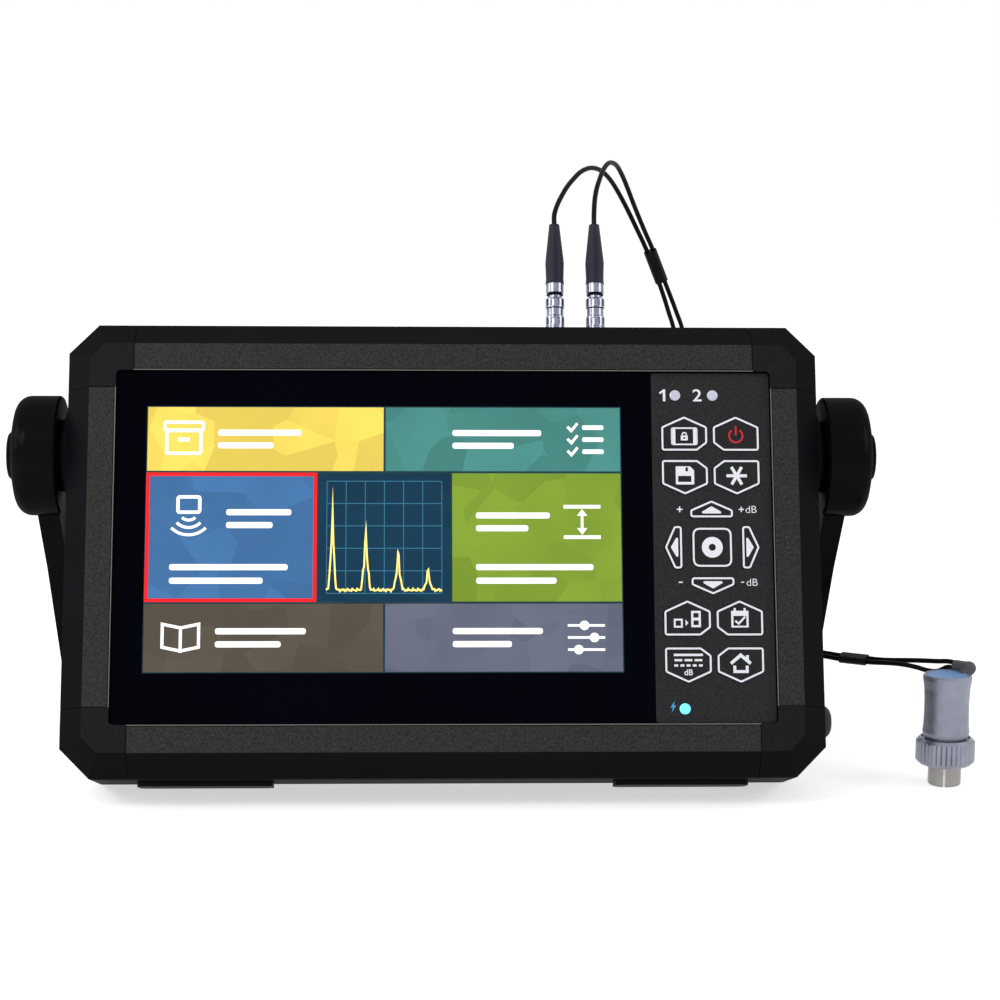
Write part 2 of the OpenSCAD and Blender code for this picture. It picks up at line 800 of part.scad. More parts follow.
module coax_sockets() {
    color("#b9bcc4") in_case() for (x = socket_xs) translate([x, pivot_y, body_h / 2])
        difference() {
            union() {
                translate([0, 0, -socket_depth]) cylinder(r = socket_r, h = socket_depth);
                cylinder(r = socket_flange_r, h = socket_flange_t);
                translate([0, 0, -wall - socket_flange_t])
                    cylinder(r = socket_flange_r, h = socket_flange_t, $fn = 6);
            }
            translate([0, 0, -socket_depth + 2 * socket_flange_t])
                cylinder(r = socket_bore_r, h = socket_depth);
        }
}

plug_low = socket_flange_t + plug_seat_gap;

module plug(i) {
    edge = plug_notch_d;
    grip_high = plug_l - plug_ring_l - plug_neck_l;
    color("#b9bcc4") in_case() translate([socket_xs[i], pivot_y, body_h / 2 + plug_low])
        difference() {
            rotate_extrude() polygon([
                [0, -plug_nose_l], [plug_nose_r, -plug_nose_l], [plug_nose_r, 0],
                [plug_r, 0], [plug_r, plug_grip_low],
                [plug_r + edge / 2, plug_grip_low], [plug_r + edge / 2, plug_grip_low + plug_grip_l],
                [plug_waist_r, plug_grip_low + plug_grip_l + edge],
                [plug_waist_r, grip_high - plug_grip_l - edge],
                [plug_r + edge / 2, grip_high - plug_grip_l], [plug_r + edge / 2, grip_high - edge],
                [plug_waist_r, grip_high], [plug_neck_r, grip_high],
                [plug_neck_r, grip_high + plug_neck_l], [plug_r - edge, grip_high + plug_neck_l],
                [plug_r, grip_high + plug_neck_l + edge], [plug_r, plug_l], [0, plug_l],
            ]);
            for (k = [0 : plug_notches - 1], z = [plug_grip_low, grip_high - plug_grip_l])
                rotate([0, 0, k * 360 / plug_notches])
                    translate([plug_r - plug_notch_d, -plug_notch_w / 2, z + 1.5 * edge])
                        cube([over, plug_notch_w, plug_grip_l - 3.2 * edge]);
        }
}

module plug_left() { plug(0); }
module plug_right() { plug(1); }

module boot(i) {
    color("#222225") in_case() translate([socket_xs[i], pivot_y, body_h / 2 + plug_low + plug_l])
        rotate_extrude() polygon([
            [0, 0], [plug_r + fit, 0], [plug_r, boot_l * boot_bulge_share / 4],
            [boot_bulge_r - fit / 2, boot_l * boot_bulge_share * 0.8],
            [boot_bulge_r, boot_l * boot_bulge_share],
            [boot_bulge_r - fit, boot_l * boot_bulge_share * 1.25],
            [boot_top_r, boot_l - fit], [boot_top_r - fit, boot_l], [0, boot_l],
        ]);
}

module boot_left() { boot(0); }
module boot_right() { boot(1); }

module side_cap() {
    color("#4a4a4a") in_case() translate([body_w / 2, pivot_y, cap_z]) round_x() polygon([
        [0, -cap_stem_l], [cap_stem_r, -cap_stem_l], [cap_stem_r, 0], [cap_r, 0],
        [cap_r, cap_rim_h],
        for (a = [0 : 15 : 90]) [cap_top_r + (cap_r - cap_top_r) * cos(a),
            cap_rim_h + (cap_h - cap_rim_h) * sin(a)],
        [0, cap_h],
    ]);
}

// Pivots, hubs, handle and release buttons

module pivot(side) {
    w = body_w / 2;
    color("#1c1c1e") in_case() mirrored(side) translate([0, pivot_y, pivot_z])
        round_x() polygon([
            [0, w - wall - pivot_nut_t], [pivot_nut_r, w - wall - pivot_nut_t],
            [pivot_nut_r, w - wall], [pivot_stem_r, w - wall], [pivot_stem_r, w],
            [pivot_flange_r, w], [pivot_flange_r, w + pivot_flange_t],
            [pivot_step_r, w + pivot_flange_t],
            [pivot_step_r, w + pivot_flange_t + pivot_step_t],
            [pivot_r, w + pivot_flange_t + pivot_step_t],
            [pivot_r, w + pivot_flange_t + pivot_step_t + pivot_l],
            [0, w + pivot_flange_t + pivot_step_t + pivot_l],
        ]);
}

module pivot_left() { pivot(-1); }
module pivot_right() { pivot(1); }

hub_bore_x = body_w / 2 + pivot_flange_t + pivot_step_t + pivot_l + hub_end_gap;
hub_pocket_x = hub_bore_x + hub_floor_t;

module hub(side) {
    color("#161618") in_handle() mirrored(side) round_x() polygon([
        [pivot_r + running, hub_inner_x], [hub_r - hub_edge, hub_inner_x],
        [hub_r, hub_inner_x + hub_edge], [hub_r, hub_face_x - hub_slope - hub_corner],
        for (a = [10 : 10 : 80]) [hub_r - hub_corner + hub_corner * cos(a),
            hub_face_x - hub_slope - hub_corner + hub_corner * sin(a)],
        [button_r + button_gap, hub_face_x], [button_r + button_gap, hub_pocket_x],
        [0, hub_pocket_x], [0, hub_bore_x], [pivot_r + running, hub_bore_x],
    ]);
}

module hub_left() { hub(-1); }
module hub_right() { hub(1); }

// Side view of the arm and the bar, below the hub
module arm_side() {
    root = hub_r * arm_root_share;
    neck = hub_r * arm_neck_share;
    x = arm_w / 2 - bar_round;
    z = -handle_reach + bar_round;
    difference() {
        polygon([
            [-root, -root], [root, -root], [arm_w / 2, -neck],
            for (a = [0 : -7.5 : -90]) [x + bar_round * cos(a), z + bar_round * sin(a)],
            for (a = [-90 : -7.5 : -180]) [-x + bar_round * cos(a), z + bar_round * sin(a)],
            [-arm_w / 2, -neck],
        ]);
        circle(hub_r);
    }
}

// Front view of the right half of the handle, with its rounded corner
module arm_front() {
    w = arm_outer_x - bar_joint_x;
    inner_w = arm_inner_x - bar_joint_x + over;
    difference() {
        union() {
            translate([bar_joint_x, -handle_reach]) square([w - handle_round, handle_reach]);
            translate([bar_joint_x, -handle_reach + handle_round])
                square([w, handle_reach - handle_round]);
            translate([arm_outer_x - handle_round, -handle_reach + handle_round])
                circle(handle_round);
        }
        translate([bar_joint_x - over, -handle_reach + bar_t + handle_fillet])
            square([inner_w, handle_reach]);
        translate([bar_joint_x - over, -handle_reach + bar_t])
            square([inner_w - handle_fillet, handle_reach]);
        translate([arm_inner_x - handle_fillet, -handle_reach + bar_t + handle_fillet])
            circle(handle_fillet);
    }
}

module arm(side) {
    color("#1a1a1c") in_handle() mirrored(side) intersection() {
        across(bar_joint_x, arm_outer_x) arm_side();
        translate([0, arm_w, 0]) rotate([90, 0, 0]) linear_extrude(2 * arm_w) arm_front();
    }
}

module arm_left() { arm(-1); }
module arm_right() { arm(1); }

module grip_bar() {
    color("#1e1e20") in_handle() across(-bar_joint_x + bar_gap, bar_joint_x - bar_gap)
        translate([0, -handle_reach + bar_t / 2]) rounded_rect(arm_w, bar_t, bar_round);
}

module release(side) {
    top = hub_face_x + button_proud;
    color("#121214") in_handle() mirrored(side) round_x() polygon([
        [0, top - button_skirt / 2], [spring_r + fit, top - button_skirt / 2],
        [spring_r + fit, top - button_skirt], [button_r, top - button_skirt],
        [button_r, top - button_edge], [button_r - button_edge, top], [0, top],
    ]);
}

module release_left() { release(-1); }
module release_right() { release(1); }

module release_springs() {
    low = hub_pocket_x + fit;
    high = hub_face_x + button_proud - button_skirt / 2 - button_travel - fit;
    color("#9a9ca0") in_handle() for (side = [-1, 1]) mirrored(side) round_x() polygon([
        [spring_r - spring_wall, low], [spring_r, low], [spring_r, high],
        [spring_r - spring_wall, high],
    ]);
}

// Leads

function unit(v) = v / norm(v);

// Point on a smooth curve through p1 and p2, at share t between them
function between(p0, p1, p2, p3, t) =
    0.5 * (2 * p1 + (p2 - p0) * t + (2 * p0 - 5 * p1 + 4 * p2 - p3) * t * t
        + (3 * p1 - p0 - 3 * p2 + p3) * t * t * t);

function smooth(pts, steps) = [
    for (i = [0 : len(pts) - 2], k = [0 : steps - 1])
        between(pts[max(i - 1, 0)], pts[i], pts[i + 1], pts[min(i + 2, len(pts) - 1)], k / steps),
    pts[len(pts) - 1],
];

function heading(pts, i) = unit(pts[min(i + 1, len(pts) - 1)] - pts[max(i - 1, 0)]);

function ring(at, along, guide, r, sides) =
    let (u = unit(guide - (guide * along) * along), v = cross(along, u))
    [for (k = [0 : sides - 1]) at + r * (cos(360 * k / sides) * u + sin(360 * k / sides) * v)];

// Tube along points; the guide is a direction that the tube never runs along
module tube(pts, r, sides, guide) {
    last = len(pts) - 1;
    rings = [for (i = [0 : last]) each ring(pts[i], heading(pts, i), guide, r, sides)];
    polyhedron(
        points = rings,
        faces = [
            [for (k = [0 : sides - 1]) k],
            [for (k = [sides - 1 : -1 : 0]) last * sides + k],
            for (i = [0 : last - 1], k = [0 : sides - 1])
                let (a = i * sides + k, b = i * sides + (k + 1) % sides)
                each [[a, a + sides, b + sides], [a, b + sides, b]],
        ]
    );
}

// Angle where the coil begins
coil_start = -90;

// Point of the coil after t turns, counted from the outer end of its lowest layer
function swing(t) = abs((t / turns_a_layer + 1) % 2 - 1);
function climb(t) =
    let (layer = floor(t / turns_a_layer + 0.5), near = t - layer * turns_a_layer)
    layer == 0 || layer == coil_layers ? min(layer, coil_layers - 1)
        : layer - 1 + max(0, min(1, 2 * near + 0.5));
function coil_point(t, low) =
    let (r = coil_inner_r + (coil_outer_r - coil_inner_r) * swing(t), a = coil_start - 360 * t)
    [coil_x + r * cos(a), coil_y + r * sin(a), low + coil_pitch * climb(t)];

// Centre height of the lowest turns of each coil
function coil_low(i) = lead_d / 2 + (i == 0 ? coil_layers * coil_pitch : 0);
function coil_out(i) = [coil_x + coil_end, coil_y - coil_outer_r, coil_low(i)];
function coil_in(i) = [coil_x - coil_outer_r, coil_y + coil_end, coil_low(i) + coil_top];
function coil_path(i) = [
    coil_out(i),
    coil_out(i) - [lead_d, 0, 0],
    for (k = [1 : coil_turns * rings_a_turn - 1]) coil_point(k / rings_a_turn, coil_low(i)),
    coil_in(i) - [0, lead_d, 0],
    coil_in(i),
];

// Least gap of a coil to itself, over points that lie more than half a turn apart
function least_gap(pts) = min([
    for (i = [0 : len(pts) - 1])
        min([for (j = [i + rings_a_turn / 2 : 1 : len(pts) - 1]) norm(pts[i] - pts[j]), coil_mid_r])
]) - lead_d;

module lead_coil(i) {
    path = coil_path(i);
    echo(least_gap_of_coil = least_gap(path));
    color("#17171a") tube(path, lead_d / 2, coil_sides, [0, 0, 1]);
}

module lead_left_coil() { lead_coil(0); }
module lead_right_coil() { lead_coil(1); }

// Place of a point of the upright case on the stand
function stood(p) = [
    p[0], p[1] * cos(lean) + p[2] * sin(lean) - mid_y,
    face_z + p[2] * cos(lean) - p[1] * sin(lean),
];
boot_end_z = body_h / 2 + plug_low + plug_l + boot_l;
front_points = [left_front_points, right_front_points];
tail_points = [left_tail_points, right_tail_points];

function front_route(i) = [
    stood([socket_xs[i], pivot_y, boot_end_z]),
    stood([socket_xs[i], pivot_y, boot_end_z + lead_straight]),
    each front_points[i],
    coil_in(i) + [0, lead_straight, 0],
    coil_in(i),
];

module lead_front(i) {
    color("#17171a") tube(smooth(front_route(i), 2), lead_d / 2, lead_sides, [0.8, -0.6, 0]);
}

module lead_left_front() { lead_front(0); }
module lead_right_front() { lead_front(1); }

// Knee of the cable relief of the probe, and its two lead exits, one above the other
relief_foot = [
    probe_x + relief_in * cos(relief_turn), probe_y + relief_in * sin(relief_turn), relief_low,
];
relief_knee = relief_foot + relief_neck_l * [
    cos(relief_rise) * cos(relief_turn), cos(relief_rise) * sin(relief_turn), sin(relief_rise),
];
relief_dir = [cos(relief_lead_turn), sin(relief_lead_turn), 0];
function relief_exit(i) = relief_knee + relief_l * relief_dir + [0, 0, (i - 0.5) * relief_pair];

function tail_route(i) = [
    coil_out(i),
    coil_out(i) + [lead_straight, 0, 0],
    each tail_points[i],
    relief_exit(i) + lead_straight * relief_dir,
    relief_exit(i),
];

module lead_tail(i) {
    color("#17171a") tube(smooth(tail_route(i), 2), lead_d / 2, lead_sides, [0.05, -0.2, 1]);
}

module lead_left_tail() { lead_tail(0); }
module lead_right_tail() { lead_tail(1); }

// Shrink band round both leads, midway between two points of each
module lead_band(band_l, a0, a1, b0, b1) {
    along = unit(a1 - a0);
    mid = (a0 + a1 + b0 + b1) / 4;
    gap = (b0 + b1 - a0 - a1) / 2;
    flat = gap - (gap * along) * along;
    u = unit(flat);
    v = cross(along, u);
    half = norm(flat) / 2;
    multmatrix([
        [u[0], v[0], along[0], mid[0]],
        [u[1], v[1], along[1], mid[1]],
        [u[2], v[2], along[2], mid[2]],
        [0, 0, 0, 1],
    ])
        translate([0, 0, -band_l / 2]) linear_extrude(band_l) difference() {
            union() {
                for (s = [-1, 1]) translate([s * half, 0]) circle(lead_d / 2 + band_wall);
                square([2 * half, lead_d + 2 * band_wall], center = true);
            }
            for (s = [-1, 1]) translate([s * half, 0]) circle(lead_d / 2 + running);
        }
}

module lead_bands() {
    color("#1f1f22") {
        lead_band(front_band_l, left_front_points[12], left_front_points[13],
            right_front_points[12], right_front_points[13]);
        lead_band(tail_band_l, left_tail_points[7], left_tail_points[8],
            right_tail_points[7], right_tail_points[8]);
    }
}

// Probe

module at_probe() {
    translate([probe_x, probe_y, 0]) children();
}

module probe_body() {
    flare = probe_h * probe_flare_share;
    color("#8d92a3") difference() {
        at_probe() rotate_extrude() polygon([
            [0, body_low], [probe_r - nut_edge, body_low], [probe_r - nut_edge, body_low + nut_recess],
            [probe_r - probe_edge, body_low + nut_recess],
            [probe_r - probe_edge / 2, body_low + nut_recess + flare / 3],
            [probe_waist_r + probe_edge / 4, body_low + flare],
            [probe_waist_r, body_low + 2 * flare], [probe_waist_r, probe_h - 2 * flare],
            [probe_waist_r + probe_edge / 3, probe_h - flare],
            [probe_r, probe_h - flare / 3], [probe_r, probe_h - probe_edge],
            [probe_r - probe_edge, probe_h], [label_r, probe_h],
            [label_r, probe_h - label_recess], [0, probe_h - label_recess],
        ]);
        relief_neck();
        translate(relief_knee) sphere(relief_knee_r + fit);
        relief_arm(fit);
    }
}

// Neck of the relief, which is set into the side of the body
module relief_neck() {
    translate(relief_foot) rotate([0, 90 - relief_rise, relief_turn])
        cylinder(r = relief_neck_r, h = relief_neck_l);
}

module probe_relief() {
    color("#6f7176") {
        relief_neck();
        translate(relief_knee) sphere(relief_knee_r);
        relief_arm(0);
    }
}

// Arm of the relief, which the leads leave
module relief_arm(grow) {
    translate(relief_knee) rotate([0, 90, relief_lead_turn])
        cylinder(r1 = relief_neck_r + grow, r2 = relief_r + grow, h = relief_l);
}

module probe_nut() {
    high = nut_h - nut_recess / 2;
    color("#9599a8") at_probe() translate([0, 0, tip_h]) difference() {
        rotate_extrude() polygon([
            [tip_r + fit, 0], [nut_r - nut_edge, 0], [nut_r, nut_edge],
            [nut_r, high - nut_edge], [nut_r - nut_edge, high], [probe_r, high],
            [probe_r, nut_h - nut_recess - fit], [tip_r + fit, nut_h - nut_recess - fit],
        ]);
        for (k = [0 : nut_ribs - 1]) rotate([0, 0, k * 360 / nut_ribs])
            translate([nut_r + nut_rib_r / 3, 0, -over])
                cylinder(r = nut_rib_r, h = nut_h + 2 * over, $fn = 4);
    }
}

module probe_tip() {
    top = tip_h + tip_seat;
    color("#a59c92") at_probe() difference() {
        rotate_extrude() polygon([
            [0, 0], [tip_r - tip_edge, 0], [tip_r - tip_edge / 3, tip_edge / 3],
            [tip_r, tip_edge], [tip_r, top], [0, top],
        ]);
        rotate([0, 0, -tip_turn]) translate([-tip_split / 2, -nut_r, -over])
            cube([tip_split, 2 * nut_r, top - tip_seat / 3 + over]);
    }
}

rail_top();
rail_bottom();
rail_left();
rail_right();
corner_top_left();
corner_top_right();
corner_bottom_left();
corner_bottom_right();
case_seal();
back_shell();
battery_door();
battery_pack();
case_screws();
rubber_feet();
display_glass();
display_module();
keypad_plate();
status_lights();
key_lock();
key_power();
key_save();
key_mark();
key_up();
key_down();
key_left();
key_right();
key_middle();
key_windows();
key_checklist();
key_lines();
key_home();
keypad_board();
main_board();
coax_sockets();
side_cap();
pivot_left();
pivot_right();
hub_left();
hub_right();
arm_left();
arm_right();
grip_bar();
release_springs();
release_left();
release_right();
plug_left();
plug_right();
boot_left();
boot_right();
lead_left_front();
lead_right_front();
lead_left_coil();
lead_right_coil();
lead_left_tail();
lead_right_tail();
lead_bands();
probe_body();
probe_nut();
probe_tip();
probe_relief();
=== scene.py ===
"""Ultrasonic flaw detector: finishes, prints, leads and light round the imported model."""

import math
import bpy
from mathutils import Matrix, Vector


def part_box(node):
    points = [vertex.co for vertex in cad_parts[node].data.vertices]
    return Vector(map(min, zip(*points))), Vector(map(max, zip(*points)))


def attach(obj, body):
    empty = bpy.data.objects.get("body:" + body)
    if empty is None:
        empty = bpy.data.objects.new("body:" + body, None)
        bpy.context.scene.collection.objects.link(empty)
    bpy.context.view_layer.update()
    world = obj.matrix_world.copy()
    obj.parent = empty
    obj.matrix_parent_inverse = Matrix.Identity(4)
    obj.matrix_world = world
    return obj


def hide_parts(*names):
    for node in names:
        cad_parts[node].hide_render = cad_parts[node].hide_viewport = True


bl_info = {
    "name": "Ultrasonic flaw detector",
    "version": (1, 0, 0),
    "blender": (4, 5, 0),
    "location": "3D View > Sidebar > Flaw detector",
    "description": "Dresses a flaw detector: finishes, key prints, screen, leads and studio",
    "category": "Object",
}

import bmesh
import bpy
from bpy.props import FloatProperty, FloatVectorProperty, PointerProperty
from mathutils import Matrix, Vector

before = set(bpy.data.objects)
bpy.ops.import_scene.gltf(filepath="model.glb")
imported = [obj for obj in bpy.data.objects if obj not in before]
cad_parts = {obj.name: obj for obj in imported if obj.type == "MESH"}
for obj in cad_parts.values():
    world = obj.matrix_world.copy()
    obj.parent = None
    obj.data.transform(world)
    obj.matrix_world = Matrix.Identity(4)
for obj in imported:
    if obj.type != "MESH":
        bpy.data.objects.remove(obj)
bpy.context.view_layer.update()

MM = 0.001

# Lean of the case and the place of its front, repeated from the part in degrees and millimetres
LEAN = math.radians(18.4)
FACE_Z = 83.6038
MID_Y = 46.1571
FRONT_NORMAL = (0, -math.cos(LEAN), math.sin(LEAN))

# The case's own space, in millimetres: x to the right, y into the case, z up its face
CASE = (
    Matrix.Translation((0, -MID_Y * MM, FACE_Z * MM))
    @ Matrix.Rotation(-LEAN, 4, "X")
    @ Matrix.Scale(MM, 4)
)
CASE_INVERSE = CASE.inverted()

KEYS = ("lock", "power", "save", "mark", "up", "down", "left", "right", "middle",
        "windows", "checklist", "lines", "home")


# Colours and numbers that a user may change


def linear(code):
    """The linear colour of an sRGB hex value such as "#2b2a2b"."""
    parts = [int(code[i:i + 2], 16) / 255 for i in (1, 3, 5)]
    return tuple(v / 12.92 if v <= 0.04045 else ((v + 0.055) / 1.055) ** 2.4 for v in parts)


def colour(name, code, description):
    """A colour setting with its default from an sRGB hex value."""
    return FloatVectorProperty(name=name, description=description, subtype="COLOR", size=3,
                               min=0, max=1, default=linear(code))


def millimetres(name, value, description, low=0.01, high=1000):
    """A length setting in millimetres."""
    return FloatProperty(name=name, description=description, default=value, min=low, max=high,
                         precision=2)


class CaseSettings(bpy.types.PropertyGroup):
    """Colours of the case, its handle and its rubber parts."""

    flat: colour("Frame, grained", "#2b2b29", "Grained flats of the front frame")
    corner: colour("Corner pieces", "#1c1b1d", "Faces of the corner pieces that face the user")
    slant: colour("Frame, smooth", "#121115", "Smooth slanted edges of the front frame")
    shell: colour("Back shell", "#1a1a1c", "Moulded back shell and battery door")
    hub: colour("Hubs", "#0c0b0d", "Smooth round hubs and their buttons")
    handle: colour("Handle", "#121214", "Arms and bar of the handle")
    # edge is a painted highlight: light grey for the line that stands in for light caught on the
    # opening's rounded edge
    edge: colour("Opening edge", "#6a6a66", "Painted highlight along the opening of the frame")
    rubber: colour("Rubber", "#08080a", "Seal, feet and the rings on the plugs")
    cap: colour("Side cap", "#363638", "Soft cap at the lower right")
    grain: millimetres("Grain", 0.5, "Width of a grain of the moulded surface, in millimetres")


class PanelSettings(bpy.types.PropertyGroup):
    """Colours and strokes of the glass, the keypad and their prints."""

    glass: colour("Glass", "#02020a", "Glass over its black print")
    keypad: colour("Keypad", "#272628", "Keypad overlay")
    key: colour("Keys", "#222224", "Keys under the overlay")
    ink: colour("Ink", "#f2f3fb", "White print")
    power: colour("Power ink", "#b8242c", "Print of the power key")
    bolt: colour("Bolt ink", "#4aa0dc", "Print of the charging mark")
    lamp: colour("Lamps", "#cdcde2", "Unlit status lamps")
    charge: colour("Charging lamp", "#6fe6f4", "Lit charging lamp")
    outline: millimetres("Key outline", 0.6, "Width of the line round each key, in millimetres")
    stroke: millimetres("Symbol stroke", 0.62, "Width of the symbols' lines, in millimetres")


class ScreenSettings(bpy.types.PropertyGroup):
    """Colours and places of the lit picture on the display."""

    width: millimetres("Width", 154, "Width of the lit area, in millimetres")
    height: millimetres("Height", 87, "Height of the lit area, in millimetres")
    centre_x: millimetres("Centre, across", -19.5, "Middle of the lit area from that of the case",
                          -200)
    centre_z: millimetres("Centre, up", 2.4, "Middle of the lit area above that of the case",
                          -200)
    gap: millimetres("Gap", 0.7, "Dark line between the tiles, in millimetres")
    glow: FloatProperty(name="Glow", description="Strength of the backlight", default=0.1,
                        min=0, max=4)
    yellow: colour("Yellow", "#fbde63", "Tile at the upper left")
    teal: colour("Teal", "#4d9089", "Tile at the upper right")
    blue: colour("Blue", "#4676aa", "Chosen tile")
    green: colour("Green", "#84a336", "Tile at the right")
    brown: colour("Brown", "#5e564b", "Tile at the lower left")
    slate: colour("Slate", "#696e81", "Tile at the lower right")
    chosen: colour("Chosen line", "#e80a16", "Line round the chosen tile")
    graph: colour("Graph", "#123a52", "Ground of the echo graph")
    ground: colour("Ground", "#22404a", "Lit ground between the tiles")
    white: colour("White", "#f4f6f6", "Signs and bars on the tiles")
    trace: colour("Trace", "#ffe27a", "Trace of the echo graph")
    grid: colour("Grid", "#2f6f8c", "Grid of the echo graph")


class LeadSettings(bpy.types.PropertyGroup):
    """Leads, plugs and probe."""

    diameter: millimetres("Lead diameter", 1.7, "Thickness of a lead, in millimetres", 0.5, 4)
    jacket: colour("Jacket", "#070709", "Jacket of the leads")
    plating: colour("Plating", "#8f92a2", "Plated plugs, sockets and screws")
    probe: colour("Probe", "#8b8e9b", "Blasted and anodised housing of the probe")
    tip: colour("Probe face", "#94918f", "Ground face ring of the probe")
    disc: colour("Probe disc", "#6f98cf", "Coloured disc on the probe's end")
    boot: colour("Boots", "#2b2836", "Boots behind the plugs")
    sleeve: colour("Sleeves", "#19191c", "Sleeves that hold the two leads together")
    relief: colour("Relief", "#57565b", "Relief where the leads enter the probe")
    barrier: colour("Sound barrier", "#f4f1ec", "Strip across the probe's face")


class InsideSettings(bpy.types.PropertyGroup):
    """Colours of the pieces inside the case."""

    board: colour("Boards", "#1d5a3a", "Lacquer of the circuit boards")
    pack: colour("Battery pack", "#2a3f66", "Film round the cells")
    carrier: colour("Display carrier", "#44464c", "Carrier behind the glass")


class StudioSettings(bpy.types.PropertyGroup):
    """Camera and lamps."""

    camera_x: millimetres("Camera, across", -9.85, "Place of the camera, to the right", -5000, 5000)
    camera_y: millimetres("Camera, back", -802.3, "Place of the camera, to the back", -5000, 5000)
    camera_z: millimetres("Camera, up", 211.93, "Place of the camera, over the ground", -5000, 5000)
    lens: FloatProperty(name="Lens", description="Focal length, in millimetres", default=85.66,
                        min=10, max=300)
    key_power: FloatProperty(name="Key lamp", description="Power of the main lamp, in watts",
                             default=4, min=0, max=500)
    side_power: FloatProperty(name="Side lamps", description="Power of a side lamp, in watts",
                              default=2.5, min=0, max=500)
    fill: FloatProperty(name="Fill", description="Strength of the light from all round",
                        default=0.55, min=0, max=5)


# Materials

# Inputs and output of a Mix node that mixes colours
MIX_A, MIX_B, MIX_COLOUR = 6, 7, 2

# Waves in a metre of a wave texture whose scale is 1
WAVES_A_METRE = 10 / math.pi

# Share of a brick texture's unit that one brick is wide
BRICK_SHARE = 0.5


def add_node(tree, kind, settings=None, links=None, stops=()):
    """Adds a node with its inputs and options, its links and the colour stops of its ramp."""
    node = tree.nodes.new(kind)
    for name, value in (settings or {}).items():
        if isinstance(name, int) or name in node.inputs:
            node.inputs[name].default_value = value
        else:
            setattr(node, name, value)
    for name, socket in (links or {}).items():
        tree.links.new(socket, node.inputs[name])
    for k, (position, base) in enumerate(stops):
        node.color_ramp.elements[k].position = position
        node.color_ramp.elements[k].color = (*base, 1)
    return node


def start_material(name):
    """A new material, its empty tree, and the link that lays a pattern on the piece."""
    material = bpy.data.materials.new(name)
    material.use_nodes = True
    tree = material.node_tree
    tree.nodes.clear()
    place = add_node(tree, "ShaderNodeTexCoord")
    return material, tree, {"Vector": place.outputs["Object"]}


def darker(base, share):
    """base with its brightness times share."""
    return tuple(v * share for v in base)


def moulded_plastic(name, base, grain, depth=0.04, rough=(0.42, 0.56), specular=0.1, edge=0.3,
                    polish=0.0):
    """Moulded plastic with a leather-like grain: small dull pits, a little shine on worn edges."""
    material, tree, on_piece = start_material(name)
    patch = 40 * grain
    pits = add_node(tree, "ShaderNodeTexNoise",
                    {"Scale": 1 / (grain * MM), "Detail": 3.0, "Roughness": 0.55}, on_piece)
    cloud = add_node(tree, "ShaderNodeTexNoise", {"Scale": 1 / (patch * MM)}, on_piece)
    tone = add_node(tree, "ShaderNodeValToRGB", links={"Fac": cloud.outputs["Fac"]},
                    stops=((0.3, darker(base, 0.86)), (0.7, darker(base, 1.12))))
    round_edge = add_node(tree, "ShaderNodeBevel", {"samples": 4, "Radius": edge * MM})
    relief = add_node(tree, "ShaderNodeBump", {"Distance": depth * MM, "Strength": 0.7},
                      {"Height": pits.outputs["Fac"], "Normal": round_edge.outputs["Normal"]})
    dull = add_node(tree, "ShaderNodeMapRange", {"To Min": rough[0], "To Max": rough[1]},
                    {"Value": pits.outputs["Fac"]})
    shader = add_node(tree, "ShaderNodeBsdfPrincipled",
                      {"Specular IOR Level": specular, "IOR": 1.53, "Coat Weight": polish,
                       "Coat Roughness": 0.2},
                      {"Base Color": tone.outputs["Color"], "Roughness": dull.outputs["Result"],
                       "Normal": relief.outputs["Normal"]})
    add_node(tree, "ShaderNodeOutputMaterial", links={"Surface": shader.outputs["BSDF"]})
    return material


